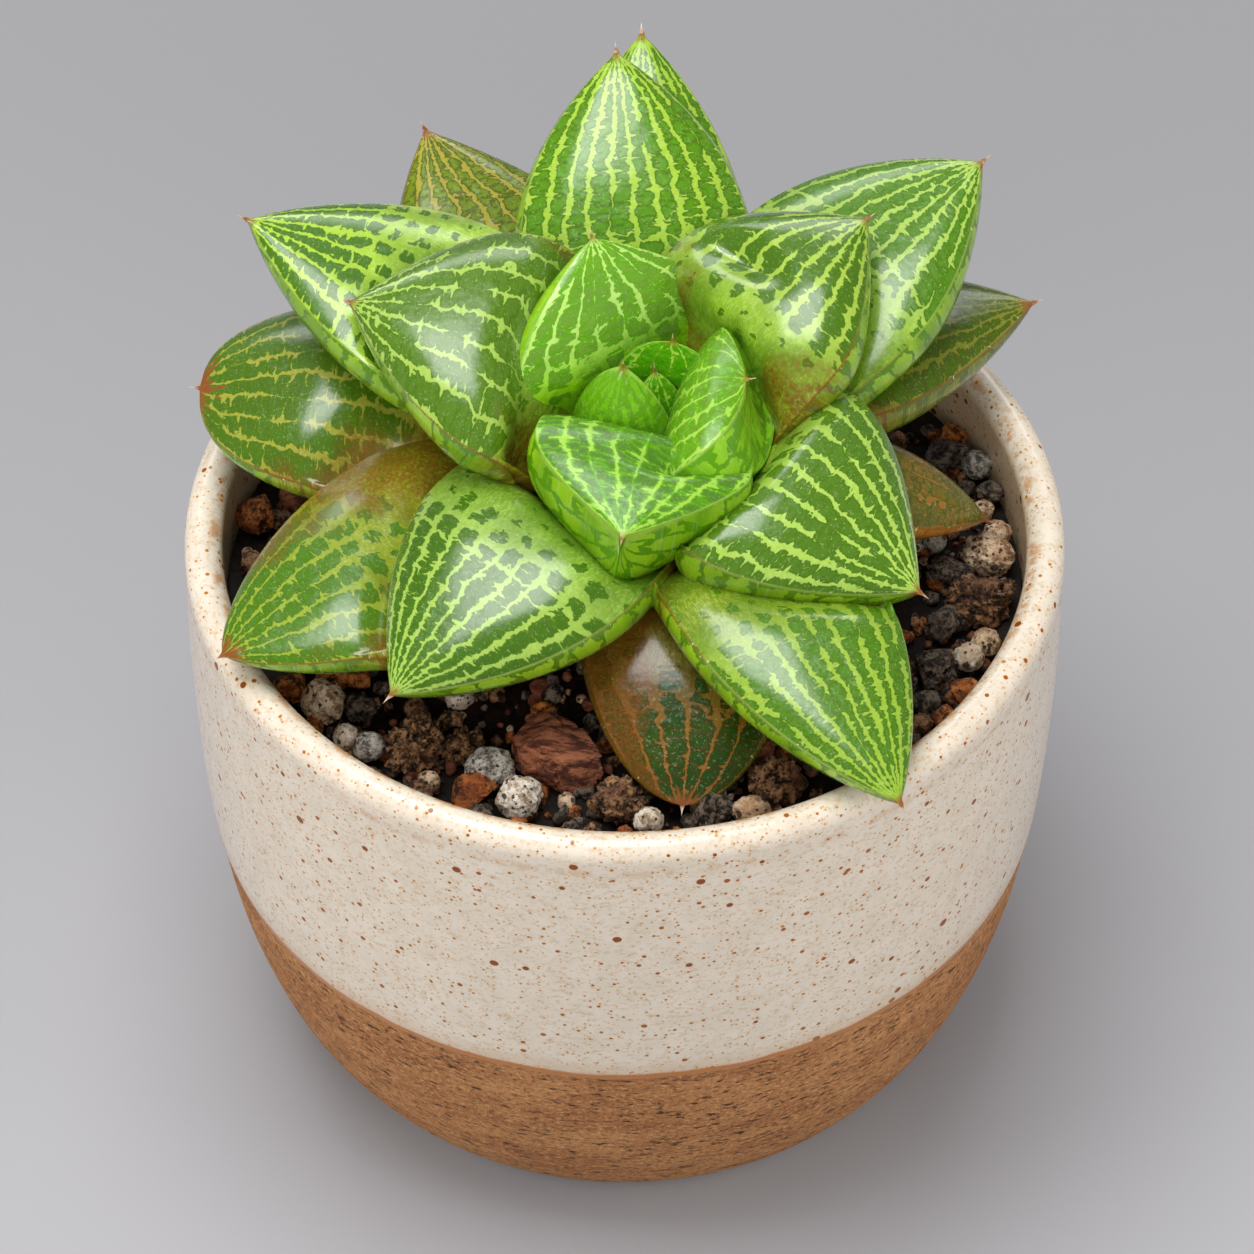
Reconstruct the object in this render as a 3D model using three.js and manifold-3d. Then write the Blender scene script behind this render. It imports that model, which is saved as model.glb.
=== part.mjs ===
// A potted haworthia: a rosette of thick, windowed leaves over a gritty mix in a tapered stoneware pot.
// Sizes are in millimetres and angles in degrees. Z is up, the pot stands on z = 0 and its front is -Y.
// A leaf's turn is measured from +X towards +Y, so 90 points to the back and 270 to the front.
import * as THREE from 'three';
import { mergeVertices } from 'three/addons/utils/BufferGeometryUtils.js';
import Module from 'manifold-3d';

const wasm = await Module();
wasm.setup();

const GAP = 0.3;
const CLEARANCE = 0.35;
const GRID = 0.002;
const POT_SEGMENTS = 56;
const MIX_SEGMENTS = 28;
const STEM_SEGMENTS = 16;

// Pot
const POT_HEIGHT = 80.8;
const LIP_RADIUS = 2.4;
const LIP_STEPS = 6;
const POT_SIDE = [
  { r: 37.0, z: 0 },
  { r: 38.9, z: 0.6 },
  { r: 43.0, z: 5.5 },
  { r: 47.3, z: 14.0 },
  { r: 51.0, z: 26.5 },
  { r: 53.4, z: 43.0 },
  { r: 54.6, z: 61.0 },
  { r: 55.0, z: POT_HEIGHT - LIP_RADIUS },
];
const POT_INSIDE = [
  { r: 50.2, z: POT_HEIGHT - LIP_RADIUS },
  { r: 49.8, z: 61.0 },
  { r: 48.6, z: 43.0 },
  { r: 46.1, z: 26.5 },
  { r: 41.2, z: 12.0 },
  { r: 35.0, z: 7.0 },
];

// Potting mix
const MIX_LEVEL = 71;
const MOUND = [
  { r: 34, z: MIX_LEVEL },
  { r: 26, z: MIX_LEVEL + 1.5 },
  { r: 16, z: MIX_LEVEL + 4 },
];
const MIX_SPACE_TOP = 90;
const GRAIN_SEED = 41;
const GRAIN_COUNT = 62;
const GRAIN_TRIES = 4000;
const GRAIN_SIZE = [1.5, 3.1];
const GRAIN_FINENESS = 1.6;
const GRAIN_LENGTH = [0.85, 1.15];
const GRAIN_BREADTH = [0.8, 1.05];
const GRAIN_RISE = [0.1, 1];
const GRAIN_REACH = 48.6;
const GRAIN_INNER_REACH = 24;
const GRAIN_ROUGHNESS = 0.16;
const GRAIN_SPACING = 0.82;

// The larger stones: where each sits from the pot's middle, its half sizes and its turn
const STONES = [
  { x: -8.6, y: -30.7, half: [7.2, 4.4, 4.2], turn: -32 },
  { x: -16.6, y: -33.3, half: [3.0, 2.6, 2.6], turn: 10 },
  { x: -12.9, y: -38.3, half: [2.8, 2.6, 2.7], turn: 40 },
  { x: -18.9, y: -37.2, half: [3.0, 2.4, 2.3], turn: 20 },
  { x: -26.0, y: -29.6, half: [3.8, 3.4, 3.6], turn: 70 },
  { x: -37.4, y: -22.1, half: [2.7, 3.0, 2.6], turn: 15 },
  { x: -33.0, y: -23.1, half: [2.1, 1.9, 1.9], turn: 0 },
  { x: -41.5, y: -19.7, half: [2.3, 1.9, 2.0], turn: 0 },
  { x: -34.4, y: -28.0, half: [1.6, 1.7, 1.7], turn: 50 },
  { x: -31.5, y: -29.7, half: [2.0, 1.8, 1.9], turn: 25 },
  { x: -46.6, y: 10.0, half: [2.3, 2.6, 2.5], turn: 0 },
  { x: -46.9, y: 2.2, half: [1.4, 1.6, 1.5], turn: 0 },
  { x: 40.8, y: 20.3, half: [3.2, 2.8, 2.7], turn: 15 },
  { x: 41.8, y: 24.0, half: [1.8, 2.0, 1.9], turn: 0 },
  { x: 44.5, y: 19.0, half: [2.0, 1.8, 1.9], turn: 0 },
  { x: 46.0, y: 14.5, half: [2.0, 1.5, 1.6], turn: 0 },
  { x: 45.1, y: 10.9, half: [1.5, 1.4, 1.4], turn: 0 },
  { x: 46.9, y: 7.0, half: [1.8, 1.6, 1.6], turn: 0 },
  { x: 45.6, y: 3.2, half: [3.3, 2.7, 2.7], turn: -10 },
  { x: 39.0, y: 5.8, half: [1.5, 1.8, 1.7], turn: 0 },
  { x: 41.1, y: 0.2, half: [3.0, 2.0, 2.1], turn: 0 },
  { x: 44.3, y: -4.7, half: [4.4, 2.9, 3.1], turn: 15 },
  { x: 40.0, y: -8.6, half: [2.5, 2.2, 2.4], turn: 0 },
  { x: 42.8, y: -14.5, half: [2.0, 1.8, 1.8], turn: 0 },
  { x: 45.0, y: -12.0, half: [1.8, 1.8, 1.8], turn: 0 },
  { x: 38.6, y: -16.0, half: [3.0, 2.9, 2.7], turn: 60 },
  { x: 42.5, y: -20.0, half: [2.0, 1.8, 1.8], turn: 0 },
  { x: 37.7, y: -22.0, half: [1.9, 1.9, 1.8], turn: 0 },
  { x: 39.5, y: -24.5, half: [1.6, 1.6, 1.6], turn: 0 },
  { x: 15.6, y: -40.3, half: [2.4, 1.7, 1.9], turn: 0 },
  { x: 18.5, y: -35.5, half: [3.2, 3.0, 2.9], turn: 30 },
  { x: 10.4, y: -39.8, half: [3.0, 2.6, 2.6], turn: 0 },
  { x: 3.0, y: -42.2, half: [1.9, 1.7, 1.8], turn: 0 },
  { x: -0.8, y: -38.8, half: [3.2, 2.8, 2.6], turn: 20 },
];
const LARGE_STONE = 3.7;
const STONE_RISE = 1.4;

// Stem: a short core that every leaf grows round
const STEM_CENTRE = { x: 4.5, y: 1.5 };
const STEM_PROFILE = [
  { r: 0, z: 60.0 },
  { r: 3.4, z: 61.5 },
  { r: 4.6, z: 66.0 },
  { r: 4.6, z: 82.0 },
  { r: 2.6, z: 87.0 },
  { r: 0, z: 88.5 },
];

// Leaves, innermost first: each one gives way to those before it
const LEAF_RINGS = 9;
const LEAF_AROUND = 8;
const RING_CROWDING = 1.25;
const CROWN_START = 0.3;
const KEEL_START = 0.7;
const MARGIN_SHARE = 0.99;
const PATH_STEPS = 24;
const BRISTLE_LENGTH = 1.6;
const BRISTLE_RADIUS = 0.35;
const SECTION_CROWN = 2.2;
const SECTION_BULGE = 0.25;
const LEAST_THICKNESS = 0.8;
const PRESS_SLOPE = 1.2;
const PRESS_BAND = 6;
const PRESS_DEPTH = 5;
const PRESS_REACH = 12;
const PRESS_FACING = 0.45;
const USUAL = {
  rootOut: 4, rootZ: 84, rootPitch: 75, climb: 22, glide: 16, tipPitch: 0, aside: 0, bow: 0, roll: 0,
  width: 26, widest: 0.5, base: 0.55, taper: 1, crown: 3, crownAt: 0.6, crownEnd: 0.85,
  keel: 9, keelAt: 0.5, keelEnd: 0.75, belly: 2.8,
};
const GREEN = 0x5f9a3c;
const BRIGHT = 0x7fc244;
const BRONZE = 0x7d6a35;
const LEAF_ROUGHNESS = 0.35;
const STONEWARE = { colour: 0xe9dfcd, roughness: 0.25 };
const STEM_SKIN = { colour: 0xa9b878, roughness: 0.6 };
const GRIT = { colour: 0x3b2c24, roughness: 0.95 };
const LEAVES = {
  leaf_bud_front: {
    turn: 106, reach: 2.7, tipZ: 104, rootOut: 0.5, rootZ: 90, rootPitch: 85, climb: 6, glide: 6,
    tipPitch: 70, width: 7, taper: 0.7, crown: 1, keel: 3, colour: BRIGHT,
  },
  leaf_bud_back: {
    turn: 74, reach: 5, tipZ: 107, rootOut: 1.5, rootZ: 88, rootPitch: 80, climb: 8, glide: 8, tipPitch: 80,
    width: 14, widest: 0.6, base: 0.7, taper: 0.5, crown: 0.5, keel: 4, colour: BRIGHT,
  },
  leaf_heart_left: {
    turn: 245, reach: 3.6, tipZ: 109.5, rootOut: 3, rootZ: 88, rootPitch: 98, climb: 8, glide: 7,
    tipPitch: 80, aside: -3.4, width: 13, widest: 0.4, base: 0.9, taper: 0.8, crown: 1,
    keel: 6.5, keelAt: 0.5, keelEnd: 0.5, colour: BRIGHT,
  },
  leaf_heart_right: {
    turn: 341, reach: 11, tipZ: 109, rootOut: 1.5, rootZ: 87, rootPitch: 88, climb: 14, glide: 6,
    tipPitch: 12, bow: -2, roll: 7, width: 24, widest: 0.62, base: 0.9, taper: 0.65, crown: 2,
    keel: 11, keelAt: 0.75, keelEnd: 0.45, colour: BRIGHT,
  },
  leaf_inner_back: {
    turn: 122, reach: 18, tipZ: 114, rootOut: 5, rootZ: 86, rootPitch: 66, climb: 14, glide: 12, tipPitch: 50,
    aside: -1.3, bow: 0.8, roll: 8, width: 35, widest: 0.38, base: 0.95, taper: 0.85, crown: 2, keel: 8,
    colour: BRIGHT,
  },
  leaf_inner_front: {
    turn: 259.5, reach: 26, tipZ: 104, rootOut: 3, rootZ: 86, rootPitch: 85, climb: 24, glide: 12,
    tipPitch: -5, roll: -7, width: 27, widest: 0.55, base: 0.8, taper: 1.1, crown: 1.5,
    keel: 15.5, keelAt: 0.85, keelEnd: 0.45, belly: 2.8, colour: BRIGHT,
  },
  leaf_inner_right: {
    turn: 40, reach: 33.5, tipZ: 112, rootOut: 5, rootZ: 88, rootPitch: 80, glide: 14, tipPitch: 15,
    bow: 1, width: 30, base: 0.6, crown: 4, keel: 10, colour: GREEN,
  },
  leaf_inner_left: {
    turn: 167, reach: 39.5, tipZ: 110, rootOut: 6, rootZ: 85, rootPitch: 82, climb: 28, tipPitch: 8,
    roll: -12, width: 32.5, base: 0.6, crown: 4, keel: 11, colour: GREEN,
  },
  leaf_mid_right: {
    turn: 323.5, reach: 39.5, tipZ: 92, rootZ: 87, glide: 18, tipPitch: -15,
    roll: 5, width: 32, base: 0.6, crown: 4, keel: 15, keelAt: 0.6, colour: GREEN,
  },
  leaf_mid_back: {
    turn: 97, reach: 45.5, tipZ: 118, rootPitch: 45, climb: 16, tipPitch: 35,
    width: 29, widest: 0.52, base: 0.6, crown: 4, colour: GREEN,
  },
  leaf_mid_front_left: {
    turn: 227.5, reach: 49, tipZ: 87, rootOut: 5, rootPitch: 70, climb: 19, glide: 18, tipPitch: -15,
    roll: -3, width: 31, base: 0.5, crown: 4.5, keel: 10, colour: GREEN,
  },
  leaf_outer_right_back: {
    turn: 40, reach: 52.5, tipZ: 110, rootPitch: 60, climb: 24, tipPitch: 28,
    bow: 3, width: 30.5, keel: 10, colour: GREEN,
  },
  leaf_outer_left_back: {
    turn: 155.5, reach: 56.5, tipZ: 110, rootPitch: 65, climb: 24, glide: 18, tipPitch: 20,
    bow: -3, width: 30, colour: GREEN,
  },
  leaf_outer_front_right: {
    turn: 299.5, reach: 59, tipZ: 84, rootZ: 82, rootPitch: 60, glide: 20, tipPitch: -15,
    bow: 0.6, width: 26, colour: GREEN,
  },
  leaf_outer_back: {
    turn: 92.5, reach: 54, tipZ: 113, rootZ: 80, rootPitch: 40, climb: 16, glide: 18, tipPitch: 30,
    width: 25, colour: GREEN,
  },
  leaf_low_front_left: {
    turn: 207, reach: 60.5, tipZ: 85, rootZ: 80, rootPitch: 60, glide: 20, tipPitch: -10,
    bow: -2, width: 32, base: 0.5, taper: 0.8, colour: GREEN,
  },
  leaf_low_left: {
    turn: 167.5, reach: 59, tipZ: 91, rootZ: 80, rootPitch: 60, climb: 24, glide: 20, tipPitch: 0,
    bow: -2.5, roll: -12, width: 29.5, widest: 0.6, taper: 0.45, crown: 5, keel: 10, colour: GREEN,
  },
  leaf_low_back_left: {
    turn: 123, reach: 54.5, tipZ: 104, rootZ: 80, rootPitch: 45, climb: 20, glide: 18, tipPitch: 25,
    bow: 1, width: 30, colour: GREEN,
  },
  leaf_low_right_back: {
    turn: 28, reach: 53, tipZ: 94, rootZ: 83, rootPitch: 60, climb: 24, glide: 18, tipPitch: 15,
    bow: 6.5, width: 27, colour: GREEN,
  },
  leaf_low_front: {
    turn: 273.5, reach: 42.5, tipZ: 74, rootZ: 79, rootPitch: 45, climb: 18, tipPitch: -25,
    bow: 2, width: 25, taper: 0.55, colour: BRONZE,
  },
  leaf_low_right: {
    turn: 4, reach: 41, tipZ: 77.5, rootZ: 81, rootPitch: 50, climb: 17, glide: 12, tipPitch: -35,
    width: 16, keel: 6, colour: BRONZE,
  },
};

const radians = (angle) => (angle * Math.PI) / 180;
const between = ([low, high], share) => low + (high - low) * share;
const clamp = (value, low, high) => Math.min(high, Math.max(low, value));

// Solids
function solidFrom(geometry) {
  const bare = new THREE.BufferGeometry();
  bare.setAttribute('position', geometry.getAttribute('position').clone());
  if (geometry.index) bare.setIndex(geometry.index.clone());
  const joined = mergeVertices(bare, GRID / 2);
  return new wasm.Manifold(new wasm.Mesh({
    numProp: 3,
    vertProperties: new Float32Array(joined.attributes.position.array),
    triVerts: new Uint32Array(joined.index.array),
  }));
}

function geometryOf(solid) {
  const made = solid.getMesh();
  const geometry = new THREE.BufferGeometry();
  geometry.setAttribute('position', new THREE.BufferAttribute(made.vertProperties, 3));
  geometry.setIndex(new THREE.BufferAttribute(made.triVerts, 1));
  return geometry;
}

function largestBody(solid) {
  const bodies = solid.decompose();
  return bodies.reduce((best, body) => (body.volume() > best.volume() ? body : best));
}

// The main body with its vertices on a fine grid, so that no sliver hangs by less than the grid
function settled(solid) {
  let body = largestBody(solid);
  for (let pass = 0; pass < 2; pass += 1) {
    const geometry = geometryOf(body);
    const position = geometry.getAttribute('position');
    for (let i = 0; i < position.array.length; i += 1) {
      position.array[i] = Math.round(position.array[i] / GRID) * GRID;
    }
    body = largestBody(solidFrom(geometry));
  }
  return body;
}

function meshFrom(solid, name, { colour, roughness }) {
  const flat = geometryOf(solid).toNonIndexed();
  flat.computeVertexNormals();
  const material = new THREE.MeshStandardMaterial({ color: colour, roughness, metalness: 0 });
  const mesh = new THREE.Mesh(flat, material);
  mesh.name = name;
  return mesh;
}

function turned(profile, segments) {
  const geometry = new THREE.LatheGeometry(profile.map((p) => new THREE.Vector2(p.r, p.z)), segments);
  geometry.rotateX(Math.PI / 2);
  return geometry;
}

// The same steady run of numbers each time, from 0 to 1
function steadyNumbers(seed) {
  let state = seed >>> 0;
  return () => {
    state = (state + 0x6d2b79f5) >>> 0;
    let mixed = Math.imul(state ^ (state >>> 15), state | 1);
    mixed ^= mixed + Math.imul(mixed ^ (mixed >>> 7), mixed | 61);
    return ((mixed ^ (mixed >>> 14)) >>> 0) / 4294967296;
  };
}

// Leaf form: a curved spine with a section that swells from the root and closes at the tip
function swell(t, peak, start, power) {
  if (t < peak) return 1 - (1 - start) * (1 - t / peak) ** 2;
  const x = clamp((t - peak) / (1 - peak), 0, 1);
  return (1 - x * x) ** power;
}

function leafSpine(leaf) {
  const outward = new THREE.Vector3(Math.cos(radians(leaf.turn)), Math.sin(radians(leaf.turn)), 0);
  const side = new THREE.Vector3(-outward.y, outward.x, 0);
  const up = new THREE.Vector3(0, 0, 1);
  const at = (out, z) => new THREE.Vector3(STEM_CENTRE.x, STEM_CENTRE.y, z)
    .addScaledVector(outward, out)
    .addScaledVector(side, leaf.aside);
  const slope = (pitch) => outward.clone().multiplyScalar(Math.cos(radians(pitch)))
    .addScaledVector(up, Math.sin(radians(pitch)));
  const root = at(leaf.rootOut, leaf.rootZ);
  const tip = at(leaf.reach, leaf.tipZ);
  const leaving = root.clone().addScaledVector(slope(leaf.rootPitch), leaf.climb);
  const arriving = tip.clone().addScaledVector(slope(leaf.tipPitch), -leaf.glide);
  for (const handle of [leaving, arriving]) handle.addScaledVector(side, leaf.bow);
  return { curve: new THREE.CubicBezierCurve3(root, leaving, arriving, tip), side };
}

function frameAt(leaf, spine, t) {
  const point = spine.curve.getPoint(t);
  const along = spine.curve.getTangent(t);
  const level = spine.side.clone().addScaledVector(along, -spine.side.dot(along)).normalize();
  const above = new THREE.Vector3().crossVectors(along, level);
  const c = Math.cos(radians(leaf.roll));
  const s = Math.sin(radians(leaf.roll));
  return {
    point,
    along,
    across: level.clone().multiplyScalar(c).addScaledVector(above, s),
    normal: above.multiplyScalar(c).addScaledVector(level, -s),
  };
}

function sizesAt(leaf, t) {
  return {
    half: Math.max((leaf.width / 2) * swell(t, leaf.widest, leaf.base, leaf.taper), BRISTLE_RADIUS),
    crown: leaf.crown * swell(t, leaf.crownAt, CROWN_START, leaf.crownEnd),
    keel: Math.max(leaf.keel * swell(t, leaf.keelAt, KEEL_START, leaf.keelEnd), BRISTLE_RADIUS),
  };
}

const undersideAt = (leaf, sizes, s) => -sizes.keel * (1 - Math.abs(s) ** leaf.belly);
const windowAt = (sizes, s) => sizes.crown * (1 - Math.abs(s) ** SECTION_CROWN);

// How far a point must drop to lie under a leaf that grows further in
function pressure(point, normal, inner) {
  const path = inner.path;
  let best = null;
  for (let i = 0; i + 1 < path.length; i += 1) {
    const step = path[i + 1].point.clone().sub(path[i].point);
    const f = clamp(point.clone().sub(path[i].point).dot(step) / step.lengthSq(), 0, 1);
    const foot = path[i].point.clone().addScaledVector(step, f);
    const distance = foot.distanceTo(point);
    if (!best || distance < best.distance) best = { distance, t: (i + f) / (path.length - 1), foot };
  }
  if (best.t <= 0 || best.t >= 1) return 0;
  const frame = path[Math.round(best.t * (path.length - 1))];
  const facing = frame.normal.dot(normal);
  if (facing < PRESS_FACING) return 0;
  const offset = point.clone().sub(best.foot);
  const height = offset.dot(frame.normal);
  const sizes = sizesAt(inner.leaf, best.t);
  const s = offset.dot(frame.across) / sizes.half;
  const beyond = (Math.abs(s) - 1) * sizes.half;
  if (beyond > PRESS_BAND || height > PRESS_REACH) return 0;
  const allowed = beyond > 0 ? PRESS_SLOPE * beyond : undersideAt(inner.leaf, sizes, s);
  return Math.max(0, (height - allowed + GAP) / facing);
}

function pressedDrop(point, normal, inners) {
  let drop = 0;
  for (let pass = 0; pass < 2; pass += 1) {
    for (const inner of inners) {
      const moved = point.clone().addScaledVector(normal, -drop);
      const need = pressure(moved, normal, inner);
      if (need > 0) drop = Math.min(PRESS_DEPTH, drop + need);
    }
  }
  return drop;
}

// One section's outline: the window from margin to margin, then the fuller underside
function ringShape(leaf, sizes) {
  const spots = [];
  for (let k = 0; k < LEAF_AROUND; k += 1) {
    const angle = (2 * Math.PI * k) / LEAF_AROUND;
    const s = Math.cos(angle);
    const under = undersideAt(leaf, sizes, s);
    const upper = Math.sin(angle) > -1e-9;
    const margin = Math.abs(s) > MARGIN_SHARE;
    spots.push({
      lateral: upper ? s : s * (1 + SECTION_BULGE * 4 * s * s * (1 - s * s)),
      height: upper ? windowAt(sizes, s) : under,
      least: upper && !margin ? under + LEAST_THICKNESS : -PRESS_DEPTH,
    });
  }
  return spots;
}

// Each drop is never less than a share of its neighbours' drops, so the pressed surface has no spikes
function eased(drops) {
  const last = drops.length - 1;
  return drops.map((ring, i) => ring.map((drop, k) => {
    const around = ring.length;
    const near = [ring[(k + 1) % around], ring[(k + around - 1) % around]];
    near.push(drops[Math.max(i - 1, 0)][k], drops[Math.min(i + 1, last)][k]);
    return Math.max(drop, near.reduce((sum, value) => sum + value, 0) / near.length);
  }));
}

function leafRings(leaf, inners) {
  const spine = leafSpine(leaf);
  const sections = Array.from({ length: LEAF_RINGS }, (_, i) => {
    const t = 1 - (1 - i / (LEAF_RINGS - 1)) ** RING_CROWDING;
    const frame = frameAt(leaf, spine, t);
    const sizes = sizesAt(leaf, t);
    const at = (spot) => frame.point.clone()
      .addScaledVector(frame.across, sizes.half * spot.lateral).addScaledVector(frame.normal, spot.height);
    return { frame, at, spots: ringShape(leaf, sizes) };
  });
  const drops = eased(sections.map(({ frame, at, spots }) => (
    spots.map((spot) => pressedDrop(at(spot), frame.normal, inners)))));
  const rings = sections.map(({ at, spots }, i) => spots.map((spot, k) => {
    const height = Math.max(spot.height - drops[i][k], Math.min(spot.height, spot.least));
    return at({ ...spot, height });
  }));
  const end = frameAt(leaf, spine, 1);
  const tip = end.point.clone().addScaledVector(end.along, BRISTLE_LENGTH);
  return { rings, root: spine.curve.getPoint(0), tip };
}

function leafGeometry({ rings, root, tip }) {
  const points = [root, ...rings.flat(), tip];
  const last = points.length - 1;
  const faces = [];
  const index = (i, k) => 1 + i * LEAF_AROUND + (k % LEAF_AROUND);
  for (let k = 0; k < LEAF_AROUND; k += 1) {
    faces.push(0, index(0, k + 1), index(0, k));
    for (let i = 0; i + 1 < rings.length; i += 1) {
      faces.push(index(i, k), index(i + 1, k + 1), index(i + 1, k));
      faces.push(index(i, k), index(i, k + 1), index(i + 1, k + 1));
    }
    faces.push(index(rings.length - 1, k), index(rings.length - 1, k + 1), last);
  }
  const geometry = new THREE.BufferGeometry();
  const places = points.flatMap((p) => [p.x, p.y, p.z]);
  geometry.setAttribute('position', new THREE.Float32BufferAttribute(places, 3));
  geometry.setIndex(faces);
  return geometry;
}

// The same closed surface, moved outwards by an even distance
function grown(geometry, distance) {
  const wider = geometry.clone();
  wider.computeVertexNormals();
  const position = wider.getAttribute('position');
  const normal = wider.getAttribute('normal');
  for (let i = 0; i < position.count; i += 1) {
    position.setXYZ(
      i,
      position.getX(i) + normal.getX(i) * distance,
      position.getY(i) + normal.getY(i) * distance,
      position.getZ(i) + normal.getZ(i) * distance,
    );
  }
  return wider;
}

// Grit
function grain(centre, half, turn, random, detail) {
  const round = new THREE.IcosahedronGeometry(1, detail);
  round.deleteAttribute('normal');
  round.deleteAttribute('uv');
  const geometry = mergeVertices(round, 1e-4);
  const position = geometry.getAttribute('position');
  for (let i = 0; i < position.count; i += 1) {
    const size = 1 + GRAIN_ROUGHNESS * (2 * random() - 1);
    position.setXYZ(i, position.getX(i) * size, position.getY(i) * size, position.getZ(i) * size);
  }
  geometry.scale(...half);
  geometry.rotateZ(radians(turn));
  geometry.translate(...centre);
  return geometry;
}

function scatteredGrains(random) {
  const grains = STONES.map((stone) => ({
    centre: [stone.x, stone.y, MIX_LEVEL + STONE_RISE],
    half: stone.half,
    turn: stone.turn,
    spread: (stone.half[0] + stone.half[1]) / 2,
    detail: stone.half[0] > LARGE_STONE ? 1 : 0,
  }));
  for (let tries = 0; tries < GRAIN_TRIES && grains.length < STONES.length + GRAIN_COUNT; tries += 1) {
    const size = between(GRAIN_SIZE, random() ** GRAIN_FINENESS);
    const span = (GRAIN_REACH - size) ** 2 - GRAIN_INNER_REACH ** 2;
    const out = Math.sqrt(GRAIN_INNER_REACH ** 2 + random() * span);
    const angle = 2 * Math.PI * random();
    const x = out * Math.cos(angle);
    const y = out * Math.sin(angle);
    const half = [GRAIN_LENGTH, GRAIN_BREADTH, GRAIN_BREADTH].map((range) => size * between(range, random()));
    const rise = between(GRAIN_RISE, random());
    const turn = 360 * random();
    const free = grains.every((other) => (
      Math.hypot(x - other.centre[0], y - other.centre[1]) > GRAIN_SPACING * (size + other.spread)));
    if (free) grains.push({ centre: [x, y, MIX_LEVEL + rise], half, turn, spread: size, detail: 0 });
  }
  return grains;
}

// Build
const group = new THREE.Group();
group.name = 'potted_haworthia';

const lip = [];
for (let i = 1; i < LIP_STEPS; i += 1) {
  const angle = (Math.PI * i) / LIP_STEPS;
  lip.push({
    r: POT_SIDE[POT_SIDE.length - 1].r - LIP_RADIUS + LIP_RADIUS * Math.cos(angle),
    z: POT_HEIGHT - LIP_RADIUS + LIP_RADIUS * Math.sin(angle),
  });
}
const floorZ = POT_INSIDE[POT_INSIDE.length - 1].z;
const potProfile = [{ r: 0, z: 0 }, ...POT_SIDE, ...lip, ...POT_INSIDE, { r: 0, z: floorZ }];
group.add(meshFrom(solidFrom(turned(potProfile, POT_SEGMENTS)), 'pot', STONEWARE));

const stemGeometry = turned(STEM_PROFILE, STEM_SEGMENTS);
stemGeometry.translate(STEM_CENTRE.x, STEM_CENTRE.y, 0);
const stem = solidFrom(stemGeometry);
const cutters = [solidFrom(grown(geometryOf(stem), CLEARANCE))];
group.add(meshFrom(stem, 'stem', STEM_SKIN));

const inners = [];
for (const [name, sizes] of Object.entries(LEAVES)) {
  const leaf = { ...USUAL, ...sizes };
  const geometry = leafGeometry(leafRings(leaf, inners));
  let body = solidFrom(geometry);
  for (const cutter of cutters) body = body.subtract(cutter);
  body = settled(body);
  cutters.push(solidFrom(grown(geometry, CLEARANCE)), body);
  group.add(meshFrom(body, name, { colour: leaf.colour, roughness: LEAF_ROUGHNESS }));
  const spine = leafSpine(leaf);
  const path = Array.from({ length: PATH_STEPS + 1 }, (_, i) => frameAt(leaf, spine, i / PATH_STEPS));
  inners.push({ leaf, path });
}

// The filling follows the pot's inside, a gap in from the wall and up from the floor
const wall = [...POT_INSIDE].reverse();
const above = wall.findIndex((p) => p.z > MIX_LEVEL);
const share = (MIX_LEVEL - wall[above - 1].z) / (wall[above].z - wall[above - 1].z);
const wallAtMix = between([wall[above - 1].r, wall[above].r], share);
const mixSide = wall.map((p) => ({ r: p.r - GAP, z: p.z === floorZ ? p.z + GAP : p.z }));
const mixFloor = { r: 0, z: floorZ + GAP };
const mixEdge = { r: wallAtMix - GAP, z: MIX_LEVEL };
const moundTop = { r: 0, z: MOUND[MOUND.length - 1].z };
const mixProfile = [mixFloor, ...mixSide.slice(0, above), mixEdge, ...MOUND, moundTop];
const spaceRim = { r: mixSide[mixSide.length - 1].r, z: MIX_SPACE_TOP };
const spaceProfile = [mixFloor, ...mixSide, spaceRim, { r: 0, z: MIX_SPACE_TOP }];
let mix = solidFrom(turned(mixProfile, MIX_SEGMENTS));
const random = steadyNumbers(GRAIN_SEED);
for (const { centre, half, turn, detail } of scatteredGrains(random)) {
  mix = mix.add(solidFrom(grain(centre, half, turn, random, detail)));
}
mix = mix.intersect(solidFrom(turned(spaceProfile, MIX_SEGMENTS)));
for (const cutter of cutters) mix = mix.subtract(cutter);
group.add(meshFrom(settled(mix), 'potting_mix', GRIT));

export default group;
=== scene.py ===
import math

import bmesh
import bpy
import numpy as np
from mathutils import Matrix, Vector, noise


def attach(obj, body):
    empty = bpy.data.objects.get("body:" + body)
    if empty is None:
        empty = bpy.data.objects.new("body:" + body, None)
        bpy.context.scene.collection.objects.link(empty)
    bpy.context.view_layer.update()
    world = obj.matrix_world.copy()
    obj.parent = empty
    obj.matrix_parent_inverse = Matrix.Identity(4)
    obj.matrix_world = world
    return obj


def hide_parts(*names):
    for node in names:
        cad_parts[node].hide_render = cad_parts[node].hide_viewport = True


# A potted haworthia in its photograph's light. Sizes are in millimetres until a mesh is made, and angles in degrees.
# A leaf's turn is measured from +X towards +Y, so 90 points to the back and 270 to the front.
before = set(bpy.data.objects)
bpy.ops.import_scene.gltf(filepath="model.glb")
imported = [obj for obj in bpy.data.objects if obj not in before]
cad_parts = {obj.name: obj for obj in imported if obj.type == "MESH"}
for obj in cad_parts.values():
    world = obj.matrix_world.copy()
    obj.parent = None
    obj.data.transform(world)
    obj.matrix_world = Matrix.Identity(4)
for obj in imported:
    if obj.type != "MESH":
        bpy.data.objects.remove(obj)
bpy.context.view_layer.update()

MM = 0.001

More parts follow.
